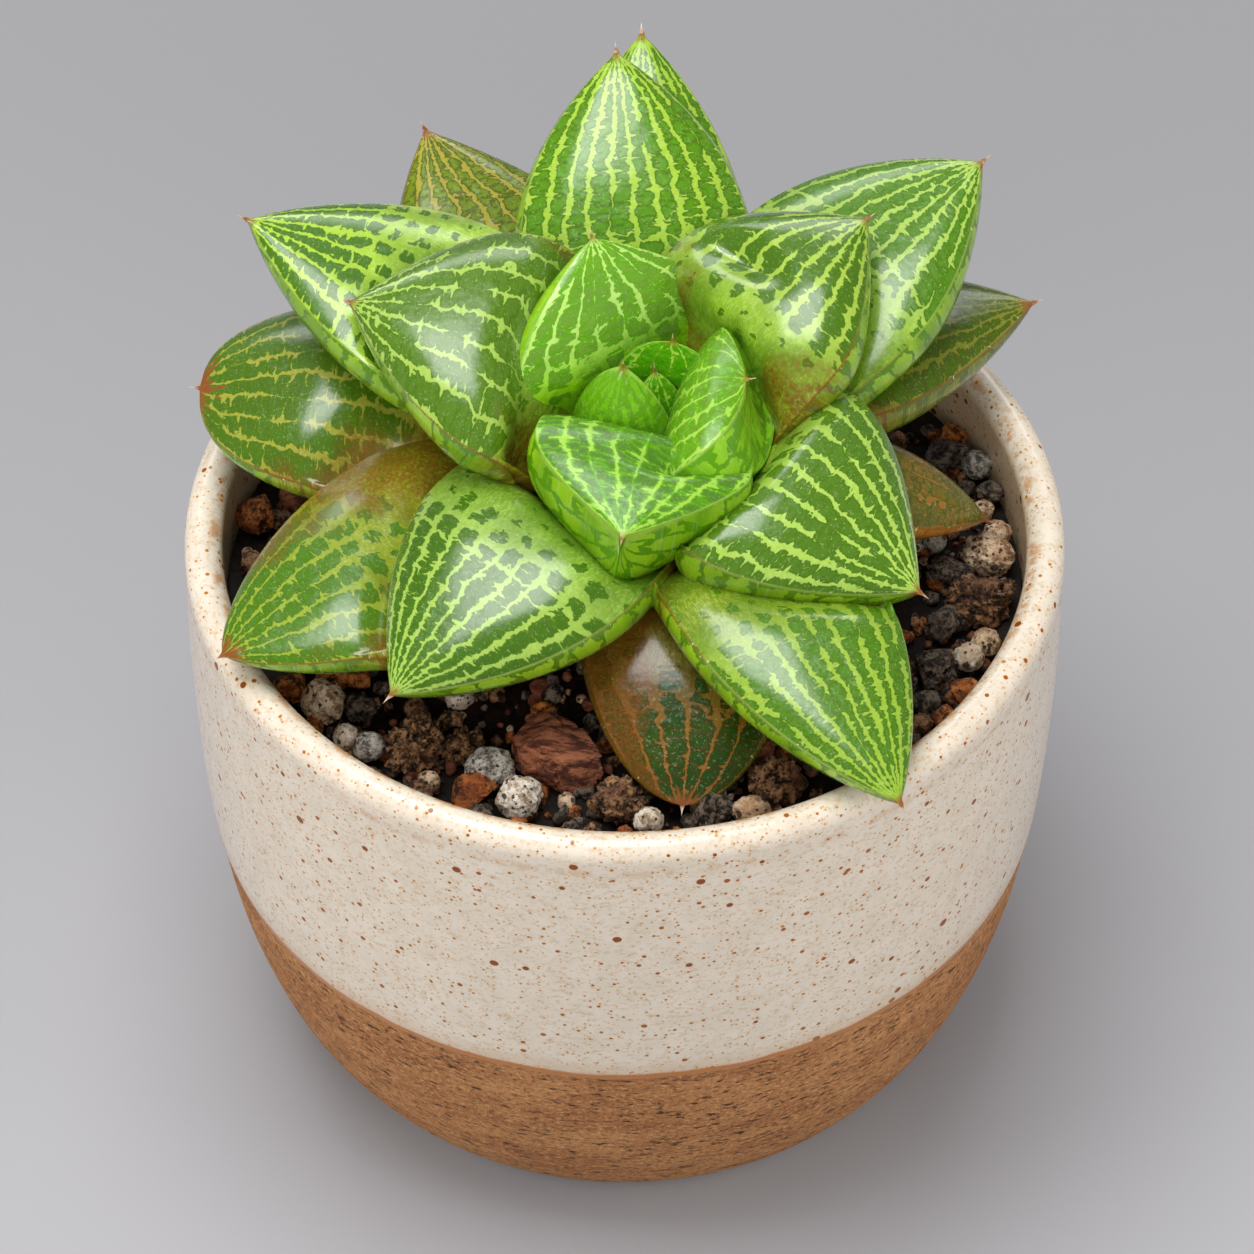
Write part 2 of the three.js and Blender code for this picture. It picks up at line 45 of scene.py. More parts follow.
# Pot
POT_HEIGHT = 80.8
LIP_RADIUS = 2.4
LIP_STEPS = 16
POT_AROUND = 288
POT_SIDE = [
    (37.0, 0.0), (38.9, 0.6), (43.0, 5.5), (47.3, 14.0), (51.0, 26.5), (53.4, 43.0), (54.6, 61.0),
    (55.0, POT_HEIGHT - LIP_RADIUS),
]
POT_INSIDE = [
    (50.2, POT_HEIGHT - LIP_RADIUS), (49.8, 61.0), (48.6, 43.0), (46.1, 26.5), (41.2, 12.0), (35.0, 7.0),
]
GLAZE_EDGE = 36.3
GLAZE_THICKNESS = 0.22

# Specks in the glaze: largest radius, spread, strength and colour
SPECKS = [
    (0.18, 0.7, 0.85, "be780e"),
    (0.28, 1.4, 1.0, "a86004"),
    (0.42, 2.5, 1.0, "964e00"),
    (0.7, 5.0, 1.0, "824000"),
]
SPECK_HALO = "cc9438"

# Potting mix
GAP = 0.3
MIX_LEVEL = 71.0
SOIL_DROP = 1.2
MOUND = [(16.0, 4.0), (26.0, 1.5), (34.0, 0.0)]
GRAIN_SEED = 41
GRAIN_COUNT = 88
GRAIN_TRIES = 4000
GRAIN_SIZE = (1.5, 3.1)
GRAIN_FINENESS = 1.6
GRAIN_LENGTH = (0.85, 1.15)
GRAIN_BREADTH = (0.8, 1.05)
GRAIN_RISE = (0.1, 1.0)
GRAIN_REACH = 48.6
GRAIN_INNER_REACH = 24.0
GRAIN_SPACING = 0.82
FLAT_DEPTH = (0.62, 0.85)
FINER_ABOVE = (1.15, 1.7, 2.4, 3.3)
STONE_RISE = 1.4
CRUMB_COUNT = 2200
CRUMB_SIZE = (0.35, 1.5)
CRUMB_SEED = 7
CRUMB_DARK_SHARE = 0.96

# The larger stones: kind, where each sits, its half sizes and its turn
STONES = [
    ("bark", -8.6, -30.7, (7.2, 4.4, 4.2), -32),
    ("grey_pumice", -16.6, -33.3, (3.0, 2.6, 2.6), 10),
    ("white_pumice", -12.9, -38.3, (2.8, 2.6, 2.7), 40),
    ("lava", -18.9, -37.2, (3.0, 2.4, 2.3), 20),
    ("scoria", -26.0, -29.6, (3.8, 3.4, 3.6), 70),
    ("tan_pumice", -37.4, -22.1, (2.7, 3.0, 2.6), 15),
    ("char", -33.0, -23.1, (2.1, 1.9, 1.9), 0),
    ("lava", -41.5, -19.7, (2.3, 1.9, 2.0), 0),
    ("white_pumice", -34.4, -28.0, (1.6, 1.7, 1.7), 50),
    ("grey_pumice", -31.5, -29.7, (2.0, 1.8, 1.9), 25),
    ("lava", -46.6, 10.0, (2.3, 2.6, 2.5), 0),
    ("scoria", -46.9, 2.2, (1.4, 1.6, 1.5), 0),
    ("char", 40.8, 20.3, (3.2, 2.8, 2.7), 15),
    ("lava", 41.8, 24.0, (1.8, 2.0, 1.9), 0),
    ("grey_pumice", 44.5, 19.0, (2.0, 1.8, 1.9), 0),
    ("char", 46.0, 14.5, (2.0, 1.5, 1.6), 0),
    ("tan_pumice", 45.1, 10.9, (1.5, 1.4, 1.4), 0),
    ("tan_pumice", 46.9, 7.0, (1.8, 1.6, 1.6), 0),
    ("tan_pumice", 45.6, 3.2, (3.3, 2.7, 2.7), -10),
    ("grey_pumice", 39.0, 5.8, (1.5, 1.8, 1.7), 0),
    ("char", 41.1, 0.2, (3.0, 2.0, 2.1), 0),
    ("scoria", 44.3, -4.7, (4.4, 2.9, 3.1), 15),
    ("char", 40.0, -8.6, (2.5, 2.2, 2.4), 0),
    ("white_pumice", 42.8, -14.5, (2.0, 1.8, 1.8), 0),
    ("tan_pumice", 45.0, -12.0, (1.8, 1.8, 1.8), 0),
    ("char", 38.6, -16.0, (3.0, 2.9, 2.7), 60),
    ("lava", 42.5, -20.0, (2.0, 1.8, 1.8), 0),
    ("char", 37.7, -22.0, (1.9, 1.9, 1.8), 0),
    ("lava", 39.5, -24.5, (1.6, 1.6, 1.6), 0),
    ("tan_pumice", 15.6, -40.3, (2.4, 1.7, 1.9), 0),
    ("scoria", 18.5, -35.5, (3.2, 3.0, 2.9), 30),
    ("char", 10.4, -39.8, (3.0, 2.6, 2.6), 0),
    ("white_pumice", 3.0, -42.2, (1.9, 1.7, 1.8), 0),
    ("scoria", -0.8, -38.8, (3.2, 2.8, 2.6), 20),
]

# Each kind of grain: its colours, how lumpy, cracked and pitted it is, its flats and its share of the loose grains
KINDS = {
    "white_pumice": dict(dark="9a8064", light="fff8ec", tint="d8ba98", lumps=0.14, cracks=0.0, pits=0.9, flats=0,
                         share=0.07),
    "tan_pumice": dict(dark="8a6240", light="f6dcba", tint="cba078", lumps=0.14, cracks=0.0, pits=0.9, flats=0,
                       share=0.08),
    "grey_pumice": dict(dark="57514a", light="d8d0c2", tint="a89c8a", lumps=0.14, cracks=0.0, pits=0.8, flats=0,
                        share=0.06),
    "lava": dict(dark="3a1808", light="d88440", tint="94481c", lumps=0.22, cracks=0.1, pits=0.6, flats=5, share=0.16),
    "scoria": dict(dark="140c06", light="b8885c", tint="6a4430", lumps=0.3, cracks=0.2, pits=0.9, flats=0, share=0.22),
    "bark": dict(dark="4a2418", light="ac6a48", tint="7c4430", lumps=0.14, cracks=0.1, pits=0.1, flats=9, share=0.11),
    "char": dict(dark="080605", light="8c7a68", tint="3a2c20", lumps=0.28, cracks=0.22, pits=0.5, flats=6, share=0.3),
}
CRUMB_KINDS = ("char", "scoria", "lava", "char", "bark", "char")

# Leaf form
STEM_CENTRE = (4.5, 1.5)
LEAF_RINGS = 76
LEAF_AROUND = 64
RING_CROWDING = 1.25
BRISTLE_LENGTH = 1.6
BRISTLE_RADIUS = 0.35
BRISTLE_RINGS = 4
CROWN_START = 0.3
KEEL_START = 0.7
SECTION_CROWN = 3.2
SECTION_BULGE = 0.25
MARGIN_SHARE = 0.99
LEAST_THICKNESS = 0.8
PATH_STEPS = 24
PRESS_SLOPE = 1.2
PRESS_BAND = 6.0
PRESS_DEPTH = 5.0
PRESS_REACH = 12.0
PRESS_FACING = 0.45
PRESS_EASING = 14
BARB_STEP = 1.45
USUAL = dict(
    rootOut=4, rootZ=84, rootPitch=75, climb=22, glide=16, tipPitch=0, aside=0, bow=0,
    roll=0, width=26, widest=0.5, base=0.55, taper=1, crown=3, crownAt=0.6, crownEnd=0.85,
    keel=9, keelAt=0.5, keelEnd=0.75, belly=2.8,
)
LEAVES = {
    "leaf_bud_front": dict(
        turn=106, reach=2.7, tipZ=104, rootOut=0.5, rootZ=90, rootPitch=85, climb=6, glide=6,
        tipPitch=70, width=7, taper=0.7, crown=1, keel=3),
    "leaf_bud_back": dict(
        turn=74, reach=5, tipZ=107, rootOut=1.5, rootZ=88, rootPitch=80, climb=8, glide=8, tipPitch=80,
        width=14, widest=0.6, base=0.7, taper=0.5, crown=0.5, keel=4),
    "leaf_heart_left": dict(
        turn=245, reach=3.6, tipZ=109.5, rootOut=3, rootZ=88, rootPitch=98, climb=8, glide=7, tipPitch=80,
        aside=-3.4, width=13, widest=0.4, base=0.9, taper=0.8, crown=1, keel=6.5, keelAt=0.5, keelEnd=0.5),
    "leaf_heart_right": dict(
        turn=341, reach=11, tipZ=109, rootOut=1.5, rootZ=87, rootPitch=88, climb=14, glide=6, tipPitch=12,
        bow=-2, roll=7, width=24, widest=0.62, base=0.9, taper=0.65, crown=2, keel=11, keelAt=0.75,
        keelEnd=0.45),
    "leaf_inner_back": dict(
        turn=122, reach=18, tipZ=114, rootOut=5, rootZ=86, rootPitch=66, climb=14, glide=12, tipPitch=50,
        aside=-1.3, bow=0.8, roll=8, width=35, widest=0.38, base=0.95, taper=0.85, crown=2, keel=8),
    "leaf_inner_front": dict(
        turn=259.5, reach=26, tipZ=104, rootOut=3, rootZ=86, rootPitch=85, climb=24, glide=12,
        tipPitch=-5, roll=-7, width=27, widest=0.55, base=0.8, taper=1.1, crown=1.5,
        keel=15.5, keelAt=0.85, keelEnd=0.45, belly=2.8),
    "leaf_inner_right": dict(
        turn=40, reach=33.5, tipZ=112, rootOut=5, rootZ=88, rootPitch=80, glide=14, tipPitch=15,
        bow=1, width=30, base=0.6, crown=4, keel=10),
    "leaf_inner_left": dict(
        turn=167, reach=39.5, tipZ=110, rootOut=6, rootZ=85, rootPitch=82, climb=28, tipPitch=8,
        roll=-12, width=32.5, base=0.6, crown=4, keel=11),
    "leaf_mid_right": dict(
        turn=323.5, reach=39.5, tipZ=92, rootZ=87, glide=18, tipPitch=-15,
        roll=5, width=32, base=0.6, crown=4, keel=15, keelAt=0.6),
    "leaf_mid_back": dict(
        turn=97, reach=45.5, tipZ=118, rootPitch=45, climb=16, tipPitch=35,
        width=29, widest=0.52, base=0.6, crown=4),
    "leaf_mid_front_left": dict(
        turn=227.5, reach=49, tipZ=87, rootOut=5, rootPitch=70, climb=19, glide=18, tipPitch=-15,
        roll=-3, width=31, base=0.5, crown=4.5, keel=10),
    "leaf_outer_right_back": dict(
        turn=40, reach=52.5, tipZ=110, rootPitch=60, climb=24, tipPitch=28, bow=3, width=30.5, keel=10),
    "leaf_outer_left_back": dict(
        turn=155.5, reach=56.5, tipZ=110, rootPitch=65, climb=24, glide=18, tipPitch=20, bow=-3, width=30),
    "leaf_outer_front_right": dict(
        turn=299.5, reach=59, tipZ=84, rootZ=82, rootPitch=60, glide=20, tipPitch=-15, bow=0.6, width=26),
    "leaf_outer_back": dict(
        turn=92.5, reach=54, tipZ=113, rootZ=80, rootPitch=40, climb=16, glide=18, tipPitch=30, width=25),
    "leaf_low_front_left": dict(
        turn=207, reach=60.5, tipZ=85, rootZ=80, rootPitch=60, glide=20, tipPitch=-10,
        bow=-2, width=32, base=0.5, taper=0.8),
    "leaf_low_left": dict(
        turn=167.5, reach=59, tipZ=91, rootZ=80, rootPitch=60, climb=24, glide=20, tipPitch=0,
        bow=-2.5, roll=-12, width=29.5, widest=0.6, taper=0.45, crown=5, keel=10),
    "leaf_low_back_left": dict(
        turn=123, reach=54.5, tipZ=104, rootZ=80, rootPitch=45, climb=20, glide=18, tipPitch=25,
        bow=1, width=30),
    "leaf_low_right_back": dict(
        turn=28, reach=53, tipZ=94, rootZ=83, rootPitch=60, climb=24, glide=18, tipPitch=15,
        bow=6.5, width=27),
    "leaf_low_front": dict(
        turn=273.5, reach=42.5, tipZ=74, rootZ=79, rootPitch=45, climb=18, tipPitch=-25,
        bow=2, width=25, taper=0.55),
    "leaf_low_right": dict(
        turn=4, reach=41, tipZ=77.5, rootZ=81, rootPitch=50, climb=17, glide=12, tipPitch=-35,
        width=16, keel=6),
}

# Leaf colours. A window is the dark glassy face and a line the pale vein on it. The base, near the root, is
# mottled with a pale bloom and deeper green. Places along the leaf run from 0 at the root to 1 at the tip: pale is
# where the pale base ends, net where the side veins stop joining up, and flush how far the brown corners reach.
# gaps is how often a vein breaks off, and barb how far a side vein that joins nothing reaches.
SKINS = {
    "usual": dict(
        window="3d640d", line="a8c650", base="78a010", bloom="a6c444", deep="446a07", under="4f7a05",
        patch="8cb41b", brown="7a4512", rim="8aa044", lines=10, line_mm=0.34, cell_mm=2.9, cross_mm=0.3,
        widen=0.5, barb=0.9, gaps=0.36, pale=0.45, net=0.52, flush=0.2, lean=0.0, tip_mm=0.6, gloss=1.0),
    "young": dict(
        window="5f9411", line="b4d854", base="74b008", bloom="93c42d", deep="5a9c05", under="528c02",
        patch="8cbc1b", brown="8a5a1c", rim="94b848", lines=9, line_mm=0.24, cell_mm=2.9, cross_mm=0.24,
        widen=0.3, barb=0.9, gaps=0.4, pale=0.3, net=0.4, flush=-0.3, lean=0.0, tip_mm=0.0, gloss=0.45),
    "old": dict(
        window="3c5a09", line="947821", base="667013", bloom="8c8c3c", deep="46500b", under="4c5a08",
        patch="707814", brown="6e3c10", rim="7c5a24", lines=8, line_mm=0.3, cell_mm=3.0, cross_mm=0.3,
        widen=0.6, barb=0.6, gaps=0.3, pale=0.4, net=0.5, flush=0.5, lean=0.0, tip_mm=1.0, gloss=0.8),
}
LOOKS = {
    "leaf_bud_front": dict(skin="young", window="489a03", base="68b407", lines=5, line_mm=0.1, gaps=0.55),
    "leaf_bud_back": dict(skin="young", window="489a03", base="68b407", lines=5, line_mm=0.12, gaps=0.55),
    "leaf_heart_left": dict(skin="young", window="5a8c10", under="5c9410", patch="6cae10", lines=6, line_mm=0.12),
    "leaf_heart_right": dict(skin="young", window="5e8a1a", under="5a9410", patch="84bc1f", line="a6c654", lines=8,
                             line_mm=0.18, gaps=0.44),
    # Its base and bloom are brighter than the young skin's: partly the pale young tissue, partly painted light
    # standing for light passing through the thin leaf in the heart's shade.
    "leaf_inner_back": dict(skin="young", window="66922c", line="bcd880", base="90d008", bloom="a4d81e",
                            lines=8, line_mm=0.26, pale=0.5, net=0.6, flush=-0.3, gloss=0.7, under="76b010"),
    "leaf_inner_front": dict(skin="young", window="4e7626", lines=8, line_mm=0.26, net=0.5, barb=1.3,
                             gaps=0.42, gloss=0.35, line="a2c656"),
    "leaf_inner_right": dict(skin="usual", window="446a0e", line="a8c251", pale=0.46, net=0.62, flush=0.52,
                             lines=9, widen=0.6, bloom="98b848"),
    "leaf_inner_left": dict(skin="usual", window="507418", line="a6c25e", lines=8, line_mm=0.28, pale=0.36,
                            net=0.46, flush=0.5, barb=1.3),
    "leaf_mid_right": dict(skin="usual", window="4c7416", line="b0cf62", lines=9, pale=0.42, net=0.5,
                           flush=0.3),
    "leaf_mid_back": dict(skin="usual", window="548a0d", line="aacb48", lines=10, line_mm=0.36, cell_mm=2.6,
                          pale=0.36, net=0.62, flush=0.1),
    "leaf_mid_front_left": dict(skin="usual", line="a8c65c", lines=9, line_mm=0.3, widen=0.6, gaps=0.2,
                                pale=0.5, net=0.7, flush=0.3, base="6c9418", bloom="9cbc52"),
    "leaf_outer_right_back": dict(skin="usual", window="4c7c14", line="a8c660", lines=9, line_mm=0.32,
                                  pale=0.5, net=0.7),
    "leaf_outer_left_back": dict(skin="usual", window="3f6c10", line="a0c039", base="90bc1b",
                                 bloom="c8e07a", lines=8, line_mm=0.3, pale=0.62, net=0.8, gaps=0.2),
    "leaf_outer_front_right": dict(skin="usual", window="4a7811", line="9cc042", base="68800d",
                                   bloom="94a63c", lines=9, line_mm=0.36, pale=0.5, net=0.62, flush=0.36),
    "leaf_outer_back": dict(skin="usual", window="4f860d", line="a6c845", lines=10, line_mm=0.34),
    "leaf_low_front_left": dict(skin="usual", window="447006", line="8ea22d", base="768c0e", lines=8,
                                line_mm=0.26, pale=0.6, flush=0.86, tip_mm=1.6, net=0.66, bloom="9a9a2d", widen=0.6),
    "leaf_low_left": dict(skin="usual", window="44640c", line="a4a03c", base="66780e", bloom="9a9a42",
                          lines=8, line_mm=0.3, pale=0.46, flush=0.82, tip_mm=2.0, net=0.6, cell_mm=2.4),
    "leaf_low_back_left": dict(skin="old", window="6c8410", line="a08c2d", base="98a42c", bloom="b8bc5c",
                               flush=0.55),
    "leaf_low_right_back": dict(skin="old", window="446006", line="7c8424", base="5c640e", under="4e5c09"),
    "leaf_low_front": dict(skin="old", window="1e4007", line="8e5a1c", base="5c520a", bloom="867a30",
                           deep="3a3404", brown="6e400e", lines=6, line_mm=0.3, pale=0.66, net=0.3,
                           flush=0.6, gaps=0.05, cross_mm=0.12, cell_mm=5.0, lean=0.7),
    "leaf_low_right": dict(skin="old", window="5e5a1a", line="8a5e22", base="8c6826", bloom="9c7c40", pale=0.1,
                           flush=0.5, under="a0641c", patch="a8742a", net=0.2, brown="a05c14", lines=4, gaps=0.5, barb=0.3),
}

# Camera and light
CAMERA_ELEVATION = 46.55
CAMERA_DISTANCE = 1398.0
CAMERA_TARGET = (0.3, 0.0, 62.57)
CAMERA_LENS = 318.5
FLOOR_SIZE = 6000.0
# Floor colours at the back and the front: the step between them is painted shade, darker at the back where less light
# falls.
FLOOR_BACK_SHADE = "8e8e91"
FLOOR_FRONT = "a2a2a6"


def linear(hexcode):
    """The linear colour of a six-digit screen colour."""
    parts = [int(hexcode[i:i + 2], 16) / 255 for i in (0, 2, 4)]
    return tuple(c / 12.92 if c <= 0.04045 else ((c + 0.055) / 1.055) ** 2.4 for c in parts) + (1.0,)


def between(span, share):
    return span[0] + (span[1] - span[0]) * share


def unit(vectors):
    return vectors / np.linalg.norm(vectors, axis=-1, keepdims=True)


def steady_numbers(seed):
    """The same steady run of numbers each time, from 0 to 1."""
    word = 0xFFFFFFFF
    state = seed & word
    while True:
        state = (state + 0x6D2B79F5) & word
        mixed = ((state ^ (state >> 15)) * (state | 1)) & word
        mixed ^= (mixed + (((mixed ^ (mixed >> 7)) * (mixed | 61)) & word)) & word
        yield (mixed ^ (mixed >> 14)) / 4294967296


# Meshes
def piece_from(name, points, faces, material, nodes, attributes=None):
    """A smooth mesh from points in millimetres, riding on the pot and standing for the named nodes."""
    mesh = bpy.data.meshes.new(name)
    mesh.from_pydata((np.asarray(points) * MM).tolist(), [], faces)
    for label, values in (attributes or {}).items():
        values = np.asarray(values, np.float32)
        kind = "FLOAT" if values.ndim == 1 else "FLOAT_VECTOR"
        data = mesh.attributes.new(label, kind, "POINT").data
        data.foreach_set("value" if values.ndim == 1 else "vector", values.ravel())
    mesh.polygons.foreach_set("use_smooth", [True] * len(mesh.polygons))
    mesh.materials.append(material)
    mesh.update()
    piece = bpy.data.objects.new(name, mesh)
    bpy.context.scene.collection.objects.link(piece)
    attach(piece, "root")
    if nodes:
        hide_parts(*nodes)
    return piece


def ring_faces(rings, around, first=0):
    """Quads between rings of points that follow one another."""
    faces = []
    for i in range(rings - 1):
        low = first + i * around
        for k in range(around):
            after = (k + 1) % around
            faces.append((low + k, low + after, low + around + after, low + around + k))
    return faces


def closed_faces(rings, around):
    """Faces of a body made of one point, rings of points and one last point."""
    faces = ring_faces(rings, around, 1)
    last = rings * around + 1
    for k in range(around):
        after = (k + 1) % around
        faces.append((0, 1 + after, 1 + k))
        faces.append((last, last - around + k, last - around + after))
    return faces


def turned(profile, around):
    """Points and faces of a profile turned about Z. The profile starts and ends on the axis."""
    angles = np.linspace(0, 2 * math.pi, around, endpoint=False)
    body = profile[1:-1]
    points = [(0, 0, profile[0][1])]
    for r, z in body:
        points.extend(zip(r * np.cos(angles), r * np.sin(angles), np.full(around, z)))
    points.append((0, 0, profile[-1][1]))
    return points, closed_faces(len(body), around)


def curve_through(corners, steps):
    """A smooth run of points through the corners."""
    ends = [2 * np.array(corners[0]) - corners[1], *map(np.array, corners)]
    ends.append(2 * np.array(corners[-1]) - corners[-2])
    run = []
    for a, b, c, d in zip(ends, ends[1:], ends[2:], ends[3:]):
        for t in np.arange(steps) / steps:
            run.append(0.5 * (2 * b + (c - a) * t + (2 * a - 5 * b + 4 * c - d) * t ** 2
                              + (3 * b - a - 3 * c + d) * t ** 3))
    run.append(np.array(corners[-1], float))
    return run


# Leaf form
def swell(t, peak, start, power):
    rising = 1 - (1 - start) * (1 - t / peak) ** 2
    x = np.clip((t - peak) / (1 - peak), 0, 1)
    return np.where(t < peak, rising, (1 - x * x) ** power)


def leaf_frames(leaf, t):
    """The spine's points at t, with the directions along it, across the leaf and out of its window."""
    turn = math.radians(leaf["turn"])
    outward = np.array([math.cos(turn), math.sin(turn), 0])
    side = np.array([-outward[1], outward[0], 0])
    up = np.array([0, 0, 1])

    def at(out, z):
        return np.array([*STEM_CENTRE, z]) + outward * out + side * leaf["aside"]

    def slope(pitch):
        return outward * math.cos(math.radians(pitch)) + up * math.sin(math.radians(pitch))

    root = at(leaf["rootOut"], leaf["rootZ"])
    tip = at(leaf["reach"], leaf["tipZ"])
    leaving = root + slope(leaf["rootPitch"]) * leaf["climb"] + side * leaf["bow"]
    arriving = tip - slope(leaf["tipPitch"]) * leaf["glide"] + side * leaf["bow"]
    u = t[:, None]
    point = ((1 - u) ** 3 * root + 3 * (1 - u) ** 2 * u * leaving
             + 3 * (1 - u) * u ** 2 * arriving + u ** 3 * tip)
    along = unit((1 - u) ** 2 * (leaving - root) + 2 * (1 - u) * u * (arriving - leaving)
                 + u ** 2 * (tip - arriving))
    level = unit(side - along * (along @ side)[:, None])
    above = np.cross(along, level)
    c = math.cos(math.radians(leaf["roll"]))
    s = math.sin(math.radians(leaf["roll"]))
    return point, along, level * c + above * s, above * c - level * s


def leaf_sizes(leaf, t):
    half = np.maximum(leaf["width"] / 2 * swell(t, leaf["widest"], leaf["base"], leaf["taper"]), BRISTLE_RADIUS)
    crown = leaf["crown"] * swell(t, leaf["crownAt"], CROWN_START, leaf["crownEnd"])
    keel = np.maximum(leaf["keel"] * swell(t, leaf["keelAt"], KEEL_START, leaf["keelEnd"]), BRISTLE_RADIUS)
    return half, crown, keel


def pressure(points, normals, inner):
    """How far each point must drop to lie under a leaf that grows further in."""
    path, _, across, normal = inner["frames"]
    step = path[1:] - path[:-1]
    offset = points[:, None, :] - path[None, :-1, :]
    share = np.clip((offset * step).sum(-1) / (step * step).sum(-1), 0, 1)
    foot = path[:-1] + step * share[..., None]
    nearest = np.linalg.norm(points[:, None, :] - foot, axis=-1).argmin(1)
    rows = np.arange(len(points))
    t = (nearest + share[rows, nearest]) / PATH_STEPS
    index = np.rint(t * PATH_STEPS).astype(int)
    facing = (normal[index] * normals).sum(-1)
    away = points - foot[rows, nearest]
    height = (away * normal[index]).sum(-1)
    half, _, keel = leaf_sizes(inner["leaf"], t)
    s = (away * across[index]).sum(-1) / half
    beyond = (np.abs(s) - 1) * half
    under = -keel * (1 - np.minimum(np.abs(s), 1) ** inner["leaf"]["belly"])
    allowed = np.where(beyond > 0, PRESS_SLOPE * beyond, under)
    need = (height - allowed + GAP) / np.maximum(facing, PRESS_FACING)
    apart = (t <= 0) | (t >= 1) | (facing < PRESS_FACING) | (beyond > PRESS_BAND) | (height > PRESS_REACH)
    return np.where(apart, 0, np.maximum(need, 0))


def pressed_drops(points, normals, inners):
    drop = np.zeros(len(points))
    for _ in range(2):
        for inner in inners:
            drop = np.minimum(PRESS_DEPTH, drop + pressure(points - normals * drop[:, None], normals, inner))
    return drop


def eased(drops):
    """Each drop is never less than its neighbours' mean, so a pressed face has no folds."""
    for _ in range(PRESS_EASING):
        before = np.vstack([drops[:1], drops[:-1]])
        after = np.vstack([drops[1:], drops[-1:]])
        mean = (np.roll(drops, 1, 1) + np.roll(drops, -1, 1) + before + after) / 4
        drops = np.maximum(drops * 0.5 + mean * 0.5, mean)
    return drops


def round_lower_face(rings):
    """How far each point lies round the lower face from its middle: as a share of its half, in mm, and the half."""
    middle = LEAF_AROUND // 2
    lower = np.concatenate([rings[:, middle:], rings[:, :1]], axis=1)
    steps = np.linalg.norm(np.diff(lower, axis=1), axis=-1)
    run = np.concatenate([np.zeros((len(rings), 1)), np.cumsum(steps, axis=1)], axis=1)
    half = run[:, -1:] / 2
    right_side = np.arange(middle) < middle / 2
    upper = np.where(right_side, half, -half)
    arc = np.concatenate([upper, run[:, :-1] - half], axis=1)
    return np.stack([arc / half, arc, np.broadcast_to(half, arc.shape)], -1)


def leaf_points(leaf, inners):
    """The leaf's rings from root to bristle, and each point's place on the leaf for its markings."""
    t = 1 - (1 - np.arange(LEAF_RINGS) / (LEAF_RINGS - 1)) ** RING_CROWDING
    point, along, across, normal = leaf_frames(leaf, t)
    half, crown, keel = (size[:, None] for size in leaf_sizes(leaf, t))
    angle = 2 * math.pi * np.arange(LEAF_AROUND) / LEAF_AROUND
    s = np.cos(angle)[None, :]
    rise = np.sin(angle)[None, :]
    upper = rise > -1e-9
    under = -keel * (1 - np.abs(s) ** leaf["belly"])
    lateral = np.where(upper, s, s * (1 + SECTION_BULGE * 4 * s * s * (1 - s * s)))
    height = np.where(upper, crown * (1 - np.abs(s) ** SECTION_CROWN), under)
    inner_face = upper & (np.abs(s) <= MARGIN_SHARE)
    least = np.where(inner_face, under + LEAST_THICKNESS, -PRESS_DEPTH)
    spot = point[:, None, :] + across[:, None, :] * (half * lateral)[..., None]
    raised = spot + normal[:, None, :] * height[..., None]
    normals = np.repeat(normal, LEAF_AROUND, axis=0)
    drops = pressed_drops(raised.reshape(-1, 3), normals, inners).reshape(height.shape)
    height = np.maximum(height - eased(drops), np.minimum(height, least))
    rings = spot + normal[:, None, :] * height[..., None]

    steps = np.linalg.norm(np.diff(point, axis=0), axis=1)
    length = np.concatenate([[0], np.cumsum(steps)])[:, None]
    shape = rings.shape[:2]
    place = np.stack([np.broadcast_to(a, shape) for a in (s, t[:, None], rise)], -1)
    measure = np.stack([half * lateral, np.broadcast_to(length, shape), np.broadcast_to(half, shape)], -1)
    return rings, place, measure, round_lower_face(rings), along[-1], point[-1]


def leaf_piece(name, leaf, inners, material):
    rings, place, measure, below, along, tip = leaf_points(leaf, inners)
    bristle = []
    for i in range(1, BRISTLE_RINGS + 1):
        share = i / (BRISTLE_RINGS + 1)
        bristle.append(tip + (rings[-1] - tip) * (1 - share) ** 2 + along * BRISTLE_LENGTH * share)
    rings = np.concatenate([rings, bristle])
    place, measure, below = (np.concatenate([a, np.repeat(a[-1:], BRISTLE_RINGS, axis=0)])
                             for a in (place, measure, below))
    end = tip + along * BRISTLE_LENGTH
    root = leaf_frames(leaf, np.array([0.0]))[0][0]
    points = np.vstack([root, rings.reshape(-1, 3), end])
    attributes = {
        "leaf_place": np.vstack([(0, 0, 0), place.reshape(-1, 3), (0, 1, 0)]),
        "leaf_mm": np.vstack([(0, 0, 1), measure.reshape(-1, 3), measure[-1, 0]]),
        "leaf_below": np.vstack([(0, 0, 1), below.reshape(-1, 3), below[-1, 0]]),
        "to_end": np.linalg.norm(points - end, axis=1),
    }
    faces = closed_faces(len(rings), LEAF_AROUND)
    return piece_from(name + "_fine", points, faces, material, [name], attributes)


